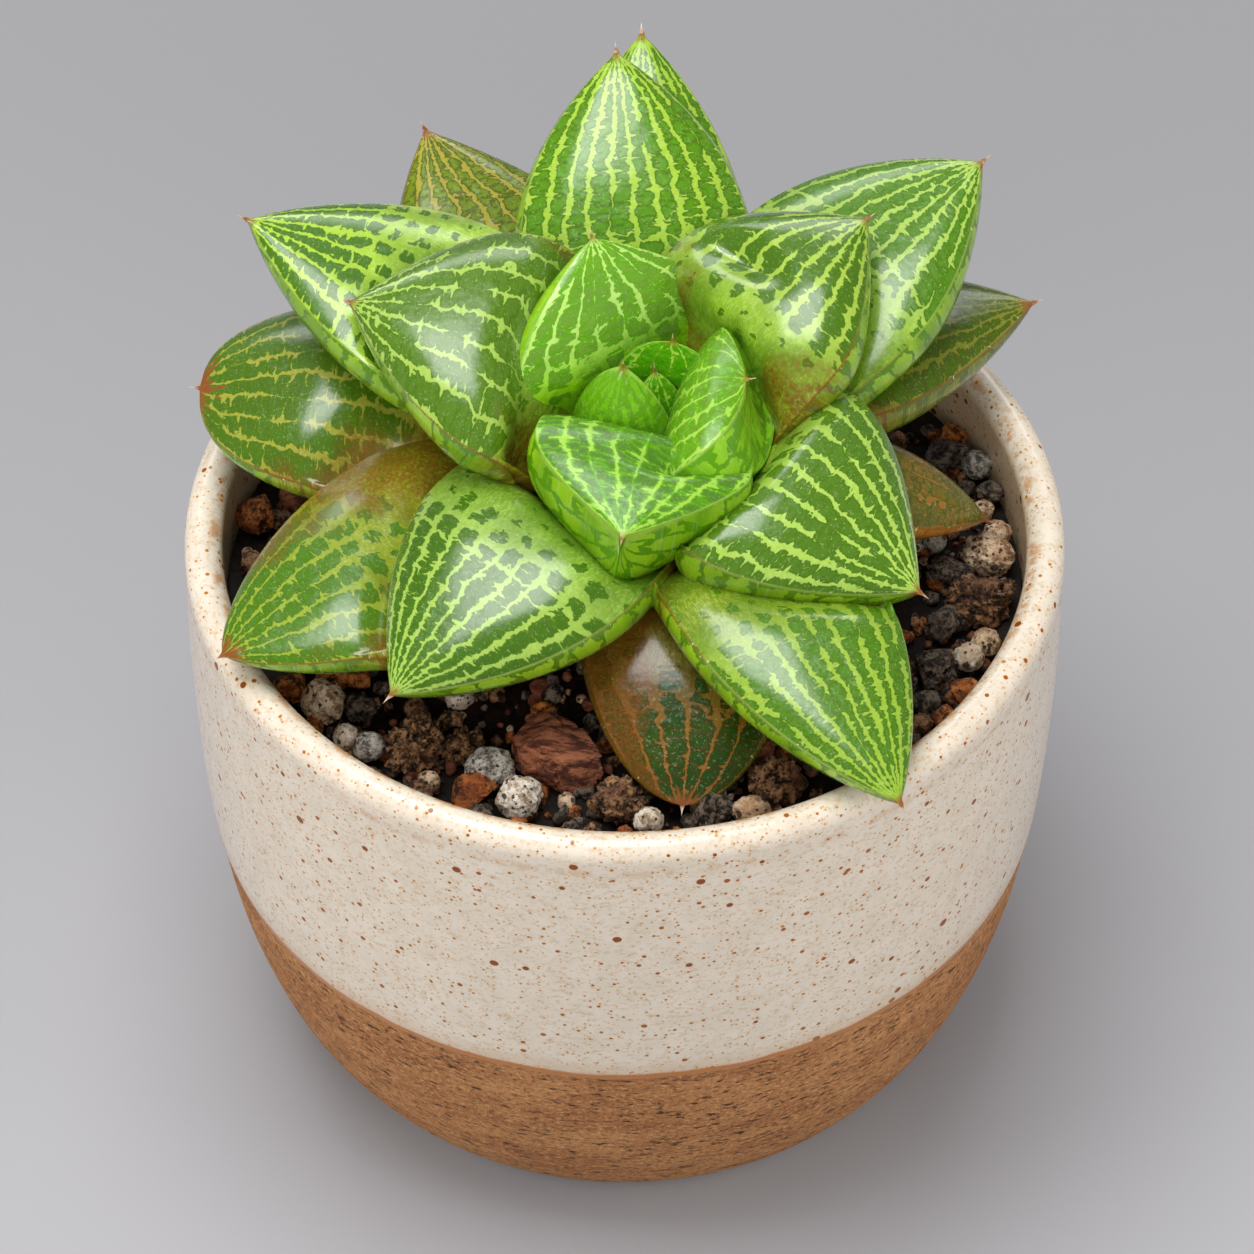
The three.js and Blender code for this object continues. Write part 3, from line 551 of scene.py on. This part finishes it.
# Shader building
class Graph:
    """A material's nodes, put together by short calls."""

    def __init__(self, name):
        self.material = bpy.data.materials.new(name)
        self.material.use_nodes = True
        self.nodes = self.material.node_tree.nodes
        self.links = self.material.node_tree.links
        self.shader = self.nodes["Principled BSDF"]

    def put(self, socket, value):
        if isinstance(value, bpy.types.NodeSocket):
            self.links.new(value, socket)
        else:
            socket.default_value = value

    def add(self, kind, inputs=None, **settings):
        node = self.nodes.new(kind)
        for key, value in settings.items():
            setattr(node, key, value)
        for key, value in (inputs or {}).items():
            self.put(node.inputs[key], value)
        return node

    def math(self, operation, *values, clamp=False):
        node = self.add("ShaderNodeMath", operation=operation, use_clamp=clamp)
        for socket, value in zip(node.inputs, values):
            self.put(socket, value)
        return node.outputs[0]

    def smooth(self, value, low, high):
        """0 at low, 1 at high, eased between."""
        inputs = {"Value": value, "From Min": low, "From Max": high}
        return self.add("ShaderNodeMapRange", inputs, interpolation_type="SMOOTHSTEP").outputs["Result"]

    def plus(self, first, *others):
        for value in others:
            first = self.math("ADD", first, value)
        return first

    def times(self, first, *others):
        for value in others:
            first = self.math("MULTIPLY", first, value)
        return first

    def minus(self, a, b, clamp=False):
        return self.math("SUBTRACT", a, b, clamp=clamp)

    def beads(self, place, feature="F1"):
        """Uneven steps along a line: the distance to the nearest step, or to an edge, and that step's draws."""
        node = self.add("ShaderNodeTexVoronoi", {"W": place, "Scale": 1.0}, voronoi_dimensions="1D", feature=feature)
        draws = self.split(node.outputs["Color"]) if feature == "F1" else None
        return node.outputs["Distance"], draws

    def mix(self, share, a, b):
        node = self.add("ShaderNodeMix", data_type="RGBA")
        for socket, value in ((node.inputs[0], share), (node.inputs[6], a), (node.inputs[7], b)):
            self.put(socket, value)
        return node.outputs[2]

    def attribute(self, name):
        return self.add("ShaderNodeAttribute", attribute_name=name).outputs

    def split(self, vector):
        return self.add("ShaderNodeSeparateXYZ", {"Vector": vector}).outputs

    def join(self, x, y, z=0.0):
        return self.add("ShaderNodeCombineXYZ", {"X": x, "Y": y, "Z": z}).outputs[0]

    def noise(self, vector, scale, detail=2.0, roughness=0.5):
        inputs = {"Vector": vector, "Scale": scale, "Detail": detail, "Roughness": roughness}
        return self.add("ShaderNodeTexNoise", inputs).outputs["Fac"]

    def bump(self, height, strength, distance, normal=None):
        inputs = {"Height": height, "Strength": strength, "Distance": distance}
        if normal is not None:
            inputs["Normal"] = normal
        return self.add("ShaderNodeBump", inputs).outputs["Normal"]

    def finish(self, colour, normal=None, roughness=0.5, **constants):
        self.put(self.shader.inputs["Base Color"], colour)
        self.put(self.shader.inputs["Roughness"], roughness)
        if normal is not None:
            self.put(self.shader.inputs["Normal"], normal)
        for key, value in constants.items():
            self.shader.inputs[key.replace("_", " ")].default_value = value
        return self.material


def net_mask(g, place, look, seed):
    """Where a leaf's dark glassy cells are, 1 inside and 0 on the veins and the pale base, and how far inside."""
    s, t, along, half = place
    soft = 0.06
    base_side = g.smooth(t, look["pale"] + 0.18, look["pale"] - 0.04)
    joined = g.smooth(t, look["net"], look["net"] - 0.2)

    wander = g.noise(g.join(g.times(s, 2.5), g.times(along, 0.13), seed), 1.0)
    kink = g.noise(g.join(g.times(s, 5.0), g.times(along, 0.55), seed + 7.0), 1.0)
    columns = g.plus(g.times(s, look["lines"] / 2), g.times(g.minus(wander, 0.5), 0.9))
    columns = g.plus(columns, g.times(g.minus(kink, 0.5), 0.55))
    line = g.math("ROUND", columns)
    offset = g.minus(columns, line)
    spacing = g.times(half, 2 / look["lines"])
    to_line = g.times(g.math("ABSOLUTE", offset), spacing)
    bank = g.plus(g.times(line, 3.71), g.times(g.math("SIGN", offset), 1.3))

    broken = g.noise(g.join(g.times(line, 9.13), g.times(along, 0.14), seed + 3.0), 1.0, 1.0)
    present = g.smooth(g.minus(broken, look["gaps"]), 0.0, 0.05)
    present = g.math("MAXIMUM", present, joined)
    jag = g.smooth(g.noise(g.join(bank, g.times(along, 1.4), seed + 9.0), 1.0, 3.0, 0.7), 0.3, 0.7)
    slimming = g.plus(g.times(g.smooth(t, 1.0, 0.72), 0.6), 0.4)
    width = g.times(slimming, look["line_mm"], present, g.plus(g.times(jag, 0.8), 0.5))
    width = g.plus(width, g.times(base_side, look["widen"]))
    beside_line = g.minus(to_line, width)

    to_spot, spot_draw = g.beads(g.plus(g.times(along, 1 / BARB_STEP), g.times(bank, 7.3)))
    reach = g.times(spot_draw[0], spot_draw[0], spot_draw[0], spot_draw[0])
    reach = g.plus(g.times(g.plus(reach, 0.12), look["barb"], present, 1.7), width)
    taper = g.minus(1.0, g.math("DIVIDE", to_line, g.plus(reach, 0.01)), clamp=True)
    beside_barb = g.plus(g.minus(g.times(to_spot, BARB_STEP), g.times(taper, 0.4)), soft)

    sway = g.noise(g.join(g.times(columns, 1.7), g.times(along, 0.5), seed + 5.0), 1.0)
    cells = g.plus(g.times(along, 1 / look["cell_mm"]), g.times(g.math("FLOOR", columns), 13.71))
    cells = g.plus(cells, g.times(g.minus(sway, 0.5), 1.1))
    _, draw = g.beads(cells)
    to_edge, _ = g.beads(cells, "DISTANCE_TO_EDGE")
    reach = g.times(g.plus(g.times(draw[0], 0.5), g.times(joined, 2.0)), spacing)
    fullness = g.math("DIVIDE", g.minus(reach, to_line), 0.5, clamp=True)
    cross = g.times(fullness, present, look["cross_mm"])
    cross = g.plus(cross, g.times(base_side, look["widen"]))
    beside_cross = g.plus(g.minus(g.times(to_edge, look["cell_mm"]), cross), soft)

    rounding = g.plus(g.times(joined, 0.5), g.times(base_side, 0.5), 0.12)
    depth = g.math("SMOOTH_MIN", beside_line, beside_cross, rounding)
    depth = g.math("SMOOTH_MIN", depth, beside_barb, 0.22)
    ragged = g.noise(g.join(g.times(s, half), along, seed + 4.0), 1.5, 3.0, 0.6)
    depth = g.plus(depth, g.times(g.minus(ragged, 0.5), 0.6))
    depth = g.minus(depth, g.times(draw[2], base_side, 0.3))
    dropping = g.smooth(t, look["pale"] - 0.2, look["pale"] + 0.06)
    kept = g.math("GREATER_THAN", dropping, g.times(draw[1], 0.98))
    return g.times(g.smooth(depth, -soft, soft), kept), depth


def window_colour(g, place, look, seed, broad, grain):
    """The upper face: dark cells between pale veins, on a pale mottled base."""
    s, t, along, half = place
    cell, depth = net_mask(g, place, look, seed)
    window = g.mix(g.times(g.smooth(broad, 0.4, 0.75), 0.35), linear(look["window"]), linear(look["under"]))
    dark = g.mix(g.smooth(depth, 0.4, 0.0), window, linear(look["deep"]))
    fibre = g.noise(g.join(g.times(s, half, 3.0), along, seed + 1.0), 1.3, 5.0, 0.75)
    base = g.mix(g.smooth(fibre, 0.42, 0.66), linear(look["base"]), linear(look["bloom"]))
    base = g.mix(g.times(g.smooth(broad, 0.62, 0.4), 0.6), base, linear(look["deep"]))
    vein = g.mix(g.times(grain, 0.7), linear(look["line"]), linear(look["base"]))
    vein = g.mix(g.smooth(t, look["pale"] + 0.2, look["pale"] - 0.05), vein, base)
    return cell, g.mix(cell, vein, dark)


def under_colour(g, place, look, seed, broad):
    """The lower face: long pale patches between darker lines."""
    patches = dict(look, lines=10, line_mm=0.48, cell_mm=3.8, cross_mm=0.5, pale=-1.0, net=3.0, widen=0.0, barb=0.3)
    patch, _ = net_mask(g, place, patches, seed + 21.0)
    pale = g.mix(g.times(g.smooth(broad, 0.35, 0.7), 0.7), linear(look["patch"]), linear(look["under"]))
    return g.mix(patch, linear(look["under"]), pale)


def leaf_material(name, look, seed):
    g = Graph(name + "_skin")
    position = g.add("ShaderNodeTexCoord").outputs["Object"]
    s, t, rise = g.split(g.attribute("leaf_place")["Vector"])
    lateral, along, half = g.split(g.attribute("leaf_mm")["Vector"])
    below, _, below_half = g.split(g.attribute("leaf_below")["Vector"])
    to_end = g.attribute("to_end")["Fac"]
    flat = g.join(lateral, along, seed)
    broad = g.noise(flat, 0.16, 3.0)
    grain = g.noise(flat, 2.2, 4.0, 0.7)
    upper = g.smooth(rise, -0.02, 0.02)
    outside = g.minus(1.0, g.math("ABSOLUTE", s))

    cell, face = window_colour(g, (s, t, along, half), look, seed, broad, grain)
    lower_face = under_colour(g, (below, t, along, below_half), look, seed, broad)
    colour = g.mix(upper, lower_face, face)
    fine = g.noise(flat, 3.4, 2.0)
    colour = g.mix(g.times(g.smooth(fine, 0.6, 0.7), 0.16), colour, linear("d2dfb4"))

    corner = g.plus(t, g.times(outside, 0.35), g.times(g.minus(broad, 0.5), 0.6), g.times(s, look["lean"]))
    flushed = g.smooth(corner, look["flush"] + 0.1, look["flush"] - 0.16)
    flushed = g.times(flushed, g.smooth(grain, 0.3, 0.6), 0.9)
    colour = g.mix(flushed, colour, linear(look["brown"]))

    to_margin = g.times(outside, half)
    rim = g.mix(g.smooth(corner, look["flush"] + 0.45, look["flush"]), linear(look["rim"]), linear(look["brown"]))
    colour = g.mix(g.times(g.smooth(to_margin, 0.16, 0.04), 0.7), colour, rim)
    dots = g.smooth(g.noise(g.join(lateral, along, seed + 2.0), 2.2, 1.0), 0.71, 0.77)
    colour = g.mix(g.times(dots, g.smooth(to_margin, 0.3, 0.12), 0.7), colour, linear("d8e4b4"))
    streak = g.times(g.minus(g.noise(g.join(g.times(s, 7.0), g.times(along, 0.3), seed + 6.0), 1.0), 0.5), 5.0)
    ending = g.plus(to_end, g.times(streak, look["tip_mm"]))
    colour = g.mix(g.smooth(ending, look["tip_mm"] + 2.6, look["tip_mm"] + 0.9), colour, linear("804a1e"))
    colour = g.mix(g.smooth(to_end, 1.3, 0.4), colour, linear("cdb793"))

    normal = g.bump(g.noise(flat, 0.5, 2.0), 0.35, 0.0010)
    normal = g.bump(g.noise(position, 1500.0, 4.0, 0.7), 0.2, 0.0003, normal)
    roughness = g.plus(g.times(grain, 0.2), 0.16, g.times(g.minus(1.0, cell), 0.06))
    return g.finish(
        colour, normal, roughness, IOR=1.42, Specular_IOR_Level=0.3, Subsurface_Weight=0.12,
        Subsurface_Scale=0.0015, Subsurface_Radius=(0.6, 1.0, 0.2), Coat_Weight=look["gloss"],
        Coat_Roughness=0.19)


def speckles(g, position, size, spread, seed):
    """How far each place is inside a round speck, in mm. Specks are cut from balls strewn about one spread apart."""
    shifted = g.add("ShaderNodeVectorMath", {0: position, 1: (seed, seed, seed)}, operation="ADD").outputs[0]
    cells = g.add("ShaderNodeTexVoronoi", {"Vector": shifted, "Scale": 1 / (spread * MM)})
    draw = g.split(cells.outputs["Color"])
    radius = g.math("MULTIPLY", g.math("ADD", g.math("MULTIPLY", draw[0], 0.7), 0.3), size / spread)
    return g.times(g.minus(radius, cells.outputs["Distance"]), spread)


def stretched(g, position, x, y, z):
    return g.add("ShaderNodeVectorMath", {0: position, 1: (x, y, z)}, operation="MULTIPLY").outputs[0]


def glaze_colour(g, position):
    """Cream glaze with iron specks, amber where it thins along the lip, and a warm tint on the inside wall that is
    partly amber glaze and partly painted warm light in the wall's shade.
    """
    z = g.split(position)[2]
    level = g.add("ShaderNodeVectorMath", {0: stretched(g, position, 1, 1, 0)}, operation="LENGTH").outputs["Value"]
    cloud = g.noise(position, 260.0, 4.0, 0.6)
    fine = g.noise(stretched(g, position, 1, 1, 1.8), 900.0, 4.0, 0.75)
    glaze = g.mix(g.smooth(cloud, 0.3, 0.7), linear("d4c8b6"), linear("dcd1c1"))
    glaze = g.mix(g.times(g.smooth(fine, 0.5, 0.66), 0.55), glaze, linear("bf9f76"))

    drip = g.smooth(g.noise(stretched(g, position, 1, 1, 0.3), 420.0, 4.0, 0.65), 0.44, 0.6)
    under_lip = g.times(g.smooth(z, (POT_HEIGHT - 5.0) * MM, (POT_HEIGHT - 4.2) * MM),
                        g.smooth(z, (POT_HEIGHT - 3.2) * MM, (POT_HEIGHT - 4.0) * MM), 0.45)
    under_lip = g.times(under_lip, g.smooth(level, 53 * MM, 54 * MM))
    lip_edge = g.times(g.smooth(level, 50.3 * MM, 50.9 * MM), g.smooth(level, 52.2 * MM, 51.3 * MM))
    amber = g.times(g.plus(under_lip, lip_edge), drip, 0.75)
    glaze = g.mix(amber, glaze, linear("b97f42"))
    # Warm tint on the inside wall: partly the glaze's amber, partly painted warm light where the plants shade the
    # wall.
    inside_amber_and_warm_light = g.smooth(level, 50.7 * MM, 50.1 * MM)
    glaze = g.mix(g.times(inside_amber_and_warm_light, 0.5), glaze, linear("d8ae72"))

    run = stretched(g, position, 1, 1, 1.15)
    for size, spread, share, tone in SPECKS:
        inside = speckles(g, run, size, spread, spread)
        glaze = g.mix(g.times(g.smooth(inside, -0.12, 0.05), share, 0.45), glaze, linear(SPECK_HALO))
        glaze = g.mix(g.times(g.smooth(inside, 0.0, 0.05), share), glaze, linear(tone))
    return cloud, glaze


def clay_colour(g, position):
    """Bare gritty clay, with pits and scratches that run round the pot."""
    turned_marks = stretched(g, position, 1, 1, 3.6)
    grit = g.noise(stretched(g, position, 1, 1, 1.25), 1500.0, 4.0, 0.75)
    dash = g.noise(turned_marks, 520.0, 3.0, 0.6)
    tint = g.noise(turned_marks, 60.0, 3.0)
    clay = g.mix(g.smooth(tint, 0.3, 0.7), linear("a66c40"), linear("c08854"))
    clay = g.mix(g.times(g.smooth(grit, 0.52, 0.64), 0.65), clay, linear("deae78"))
    clay = g.mix(g.times(g.smooth(grit, 0.46, 0.36), 0.7), clay, linear("6c4220"))
    clay = g.mix(g.times(g.smooth(dash, 0.4, 0.36), 0.9), clay, linear("2c1a0c"))
    pit = g.smooth(speckles(g, turned_marks, 0.5, 3.2, 2.0), 0.0, 0.1)
    clay = g.mix(g.times(pit, 0.85), clay, linear("2c1a0c"))
    return g.minus(grit, g.times(g.smooth(dash, 0.46, 0.4), 0.4)), clay


def pot_material():
    g = Graph("stoneware")
    position = g.add("ShaderNodeTexCoord").outputs["Object"]
    z = g.split(position)[2]
    cloud, glaze = glaze_colour(g, position)
    grit, clay = clay_colour(g, position)
    waver = g.math("MULTIPLY", g.math("SUBTRACT", g.noise(position, 120.0, 3.0), 0.5), 1.4 * MM)
    level = g.math("ADD", z, waver)
    glazed = g.smooth(level, (GLAZE_EDGE - 0.1) * MM, (GLAZE_EDGE + 0.1) * MM)
    colour = g.mix(glazed, clay, glaze)
    seep = g.times(glazed, g.smooth(level, (GLAZE_EDGE + 4.5) * MM, (GLAZE_EDGE + 1.2) * MM), 0.3)
    colour = g.mix(seep, colour, linear("b98a50"))
    thin = g.times(glazed, g.smooth(level, (GLAZE_EDGE + 1.3) * MM, (GLAZE_EDGE + 0.8) * MM), 0.92)
    colour = g.mix(thin, colour, linear("ae640a"))

    pits = g.math("MULTIPLY", g.math("SUBTRACT", 1.0, glazed), grit)
    normal = g.bump(pits, 0.8, 0.0006)
    normal = g.bump(cloud, 0.12, 0.0004, normal)
    roughness = g.math("SUBTRACT", 0.85, g.math("MULTIPLY", glazed, 0.65))
    return g.finish(colour, normal, roughness, IOR=1.5)


def grain_material(name, kind):
    """Rough stone with dark crevices and pits. Bark is streaked along its length."""
    g = Graph(name)
    position = g.add("ShaderNodeTexCoord").outputs["Object"]
    tone = g.attribute("tone")["Fac"]
    run = position
    if name == "bark":
        settings = {"Vector": position, "Rotation": (0, 0, math.radians(32)), "Scale": (0.25, 1, 1)}
        run = g.add("ShaderNodeMapping", settings).outputs[0]
    rough = g.noise(run, 800.0, 6.0, 0.8)
    patch = g.noise(run, 300.0, 3.0, 0.6)
    light = g.mix(g.times(tone, 0.4), linear(kind["light"]), linear(kind["tint"]))
    colour = g.mix(g.smooth(rough, 0.42, 0.58), linear(kind["dark"]), light)
    colour = g.mix(g.times(g.smooth(patch, 0.5, 0.66), 0.7), colour, linear(kind["tint"]))
    inside = g.math("MAXIMUM", speckles(g, position, 0.3, 0.8, 3.0), speckles(g, position, 0.55, 1.9, 5.0))
    holes = g.times(g.smooth(inside, 0.0, 0.05), kind["pits"])
    colour = g.mix(holes, colour, linear("2c1a10"))
    normal = g.bump(rough, 0.9, 0.0008)
    normal = g.bump(g.minus(1.0, holes), 0.8, 0.0004, normal)
    return g.finish(colour, normal, 0.8)


def floor_material():
    """Plain paper with painted shade: a little darker towards the back, where less light falls."""
    g = Graph("paper_floor")
    y = g.split(g.add("ShaderNodeTexCoord").outputs["Object"])[1]
    return g.finish(g.mix(g.smooth(y, 0.19, -0.06), linear(FLOOR_BACK_SHADE), linear(FLOOR_FRONT)), roughness=0.9)


def plain_material(name, dark, light, scale, roughness):
    g = Graph(name)
    position = g.add("ShaderNodeTexCoord").outputs["Object"]
    cloud = g.noise(position, scale, 4.0, 0.65)
    colour = g.mix(g.smooth(cloud, 0.35, 0.65), linear(dark), linear(light))
    return g.finish(colour, g.bump(cloud, 0.4, 0.0006), roughness)


# Pot
def pot_profile():
    side = curve_through(POT_SIDE, 14)
    outer = [(r + GLAZE_THICKNESS * min(max((z - GLAZE_EDGE) / 0.5, 0), 1) - GLAZE_THICKNESS, z) for r, z in side]
    outer[0] = tuple(side[0])
    middle = POT_SIDE[-1][0] - LIP_RADIUS
    lip = []
    for i in range(1, LIP_STEPS):
        angle = math.pi * i / LIP_STEPS
        lip.append((middle + LIP_RADIUS * math.cos(angle), POT_HEIGHT - LIP_RADIUS * (1 - math.sin(angle))))
    inside = [tuple(p) for p in curve_through(POT_INSIDE, 8)]
    return [(0, 0), *outer, *lip, *inside, (0, POT_INSIDE[-1][1])]


def build_pot():
    points, faces = turned(pot_profile(), POT_AROUND)
    piece_from("pot_fine", points, faces, pot_material(), ["pot"])


# Potting mix
def soil_height(r):
    radii, rises = zip(*MOUND)
    return MIX_LEVEL - SOIL_DROP + float(np.interp(r, radii, rises))


def build_soil():
    wall = [(r - GAP, z) for r, z in POT_INSIDE[::-1] if z < MIX_LEVEL]
    share = (MIX_LEVEL - POT_INSIDE[1][1]) / (POT_INSIDE[0][1] - POT_INSIDE[1][1])
    edge = between((POT_INSIDE[1][0], POT_INSIDE[0][0]), share) - GAP
    floor_z = POT_INSIDE[-1][1] + GAP
    wall[0] = (wall[0][0], floor_z)
    top = [(r, soil_height(r)) for r in np.linspace(edge, 0.6, 60)]
    points, faces = turned([(0, floor_z), *wall, *top, (0, soil_height(0))], 160)
    points = np.array(points, float)
    for point in points[points[:, 2] > MIX_LEVEL - SOIL_DROP - 0.5]:
        point[2] += 1.1 * noise.fractal(Vector(point) * 0.55, 0.8, 2.1, 4)
    material = plain_material("soil", "060403", "1e120b", 900.0, 0.95)
    piece_from("mix_soil", points, faces, material, ["potting_mix"])


def loose_grains():
    """Where the loose grains lie among the stones: kind, centre, half sizes and turn."""
    random = steady_numbers(GRAIN_SEED)
    grains = [(kind, (x, y, MIX_LEVEL + STONE_RISE), half, turn, (half[0] + half[1]) / 2)
              for kind, x, y, half, turn in STONES]
    kinds = list(KINDS)
    chances = np.cumsum([KINDS[k]["share"] for k in kinds])
    pick = steady_numbers(CRUMB_SEED + 1)
    for _ in range(GRAIN_TRIES):
        if len(grains) >= len(STONES) + GRAIN_COUNT:
            break
        size = between(GRAIN_SIZE, next(random) ** GRAIN_FINENESS)
        span = (GRAIN_REACH - size) ** 2 - GRAIN_INNER_REACH ** 2
        out = math.sqrt(GRAIN_INNER_REACH ** 2 + next(random) * span)
        angle = 2 * math.pi * next(random)
        x, y = out * math.cos(angle), out * math.sin(angle)
        half = tuple(size * between(r, next(random)) for r in (GRAIN_LENGTH, GRAIN_BREADTH, GRAIN_BREADTH))
        rise = between(GRAIN_RISE, next(random))
        turn = 360 * next(random)
        if all(math.hypot(x - c[0], y - c[1]) > GRAIN_SPACING * (size + spread) for _, c, _, _, spread in grains):
            kind = kinds[int(np.searchsorted(chances, next(pick) * chances[-1]))]
            grains.append((kind, (x, y, MIX_LEVEL + rise), half, turn, size))
    return grains


def crumbs():
    """The small stuff between the grains."""
    random = steady_numbers(CRUMB_SEED)
    for _ in range(CRUMB_COUNT):
        size = between(CRUMB_SIZE, next(random) ** 2)
        out = math.sqrt(next(random)) * (GRAIN_REACH - size)
        angle = 2 * math.pi * next(random)
        draw = next(random)
        kind = CRUMB_KINDS[int(draw * len(CRUMB_KINDS))] if draw < CRUMB_DARK_SHARE else "tan_pumice"
        half = tuple(size * (0.75 + 0.5 * next(random)) for _ in range(3))
        z = soil_height(out) + size * (0.3 + 0.9 * next(random))
        yield kind, (out * math.cos(angle), out * math.sin(angle), z), half, 360 * next(random), size


def round_body(level):
    ball = bmesh.new()
    bmesh.ops.create_icosphere(ball, subdivisions=level, radius=1.0)
    points = np.array([v.co for v in ball.verts])
    faces = np.array([[v.index for v in f.verts] for f in ball.faces])
    ball.free()
    return points, faces


def grain_body(points, kind, half, turn, centre, seed):
    """A rough stone: lumps and cracks all over, then a few flats on the harder kinds."""
    look = KINDS[kind]
    shift = Vector((seed * 3.1, seed * 1.7, seed * 2.3))
    size = np.empty(len(points))
    for i, p in enumerate(points):
        v = Vector(p)
        crack = max(0.0, 1 - abs(noise.noise(v * 2.2 - shift)) / 0.22)
        lump = noise.noise(v * 1.3 + shift) + 0.7 * noise.fractal(v * 3.2 + shift, 0.6, 2.0, 4)
        size[i] = 1 + look["lumps"] * lump - look["cracks"] * crack
    body = points * size[:, None]
    random = steady_numbers(seed + 100)
    for _ in range(look["flats"]):
        facing = unit(np.array([2 * next(random) - 1, 2 * next(random) - 1, 2 * next(random) - 0.6]))
        above = np.maximum(body @ facing - between(FLAT_DEPTH, next(random)), 0)
        body = body - above[:, None] * facing * 0.9
    body = body * half
    a = math.radians(turn)
    spun = body @ np.array([[math.cos(a), math.sin(a), 0], [-math.sin(a), math.cos(a), 0], [0, 0, 1]])
    return spun + centre


def build_grains():
    balls = {level: round_body(level) for level in (2, 3, 4, 5, 6)}
    gathered = {kind: ([], [], []) for kind in KINDS}
    everything = [*loose_grains(), *crumbs()]
    for seed, (kind, centre, half, turn, spread) in enumerate(everything):
        level = 2 + sum(spread > limit for limit in FINER_ABOVE)
        points, faces = balls[level]
        all_points, all_faces, tones = gathered[kind]
        start = sum(len(p) for p in all_points)
        all_points.append(grain_body(points, kind, np.array(half), turn, np.array(centre), seed))
        all_faces.append(faces + start)
        tones.append(np.full(len(points), (seed * 0.618) % 1))
    for kind, (points, faces, tones) in gathered.items():
        piece_from("mix_" + kind, np.vstack(points), np.vstack(faces).tolist(), grain_material(kind, KINDS[kind]),
                   ["potting_mix"], {"tone": np.concatenate(tones)})


def build_leaves():
    inners = []
    for seed, (name, form) in enumerate(LEAVES.items()):
        leaf = {**USUAL, **form}
        look = {**SKINS[LOOKS[name]["skin"]], **LOOKS[name]}
        leaf_piece(name, leaf, inners, leaf_material(name, look, 7.3 * seed))
        inners.append({"leaf": leaf, "frames": leaf_frames(leaf, np.linspace(0, 1, PATH_STEPS + 1))})


# Stage
def softbox(name, place, target, size, power, colour, mirrored=True):
    """A rectangular lamp. One that isn't mirrored lights the surfaces but leaves no gloss on them."""
    data = bpy.data.lights.new(name, "AREA")
    data.shape = "RECTANGLE"
    data.size, data.size_y = size[0] * MM, size[1] * MM
    data.energy = power
    data.color = linear(colour)[:3]
    lamp = bpy.data.objects.new(name, data)
    lamp.location = Vector(place) * MM
    lamp.rotation_euler = (Vector(target) - Vector(place)).to_track_quat("-Z", "Y").to_euler()
    lamp.visible_glossy = mirrored
    bpy.context.scene.collection.objects.link(lamp)


def build_stage():
    half = FLOOR_SIZE * MM / 2
    mesh = bpy.data.meshes.new("floor")
    mesh.from_pydata([(-half, -half, 0), (half, -half, 0), (half, half, 0), (-half, half, 0)], [], [(0, 1, 2, 3)])
    mesh.materials.append(floor_material())
    floor = bpy.data.objects.new("floor", mesh)
    bpy.context.scene.collection.objects.link(floor)

    top = (0, 0, 80)
    softbox("top_key", (-150, 20, 1000), top, (620, 620), 8.6, "ffffff")
    softbox("back_rim", (-60, 850, 620), top, (900, 300), 3.0, "ffffff")
    softbox("front_fill", (-100, -900, 600), top, (1200, 800), 6.4, "ffffff", False)
    softbox("left_fill", (-950, -150, 420), top, (800, 800), 4.8, "fffcf8", False)
    softbox("right_fill", (950, -200, 420), top, (700, 700), 5.0, "fffcf8", False)

    world = bpy.data.worlds.new("studio")
    world.use_nodes = True
    world.node_tree.nodes["Background"].inputs["Color"].default_value = linear("d9dade")
    world.node_tree.nodes["Background"].inputs["Strength"].default_value = 0.2
    bpy.context.scene.world = world
    bpy.context.scene.view_settings.view_transform = "Standard"


def build_camera():
    tilt = math.radians(CAMERA_ELEVATION)
    x, y, z = CAMERA_TARGET
    camera = bpy.data.objects.new("camera", bpy.data.cameras.new("camera"))
    camera.data.lens = CAMERA_LENS
    camera.data.sensor_width = 36
    camera.data.clip_end = 20
    camera.location = Vector((x, y - CAMERA_DISTANCE * math.cos(tilt), z + CAMERA_DISTANCE * math.sin(tilt))) * MM
    camera.rotation_euler = (math.pi / 2 - tilt, 0, 0)
    bpy.context.scene.collection.objects.link(camera)
    bpy.context.scene.camera = camera


def dress_stem():
    material = plain_material("stem_skin", "6f7a34", "a3ad62", 300.0, 0.55)
    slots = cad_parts["stem"].material_slots
    for slot in slots:
        slot.material = material


build_camera()
build_stage()
build_pot()
build_soil()
build_grains()
build_leaves()
dress_stem()
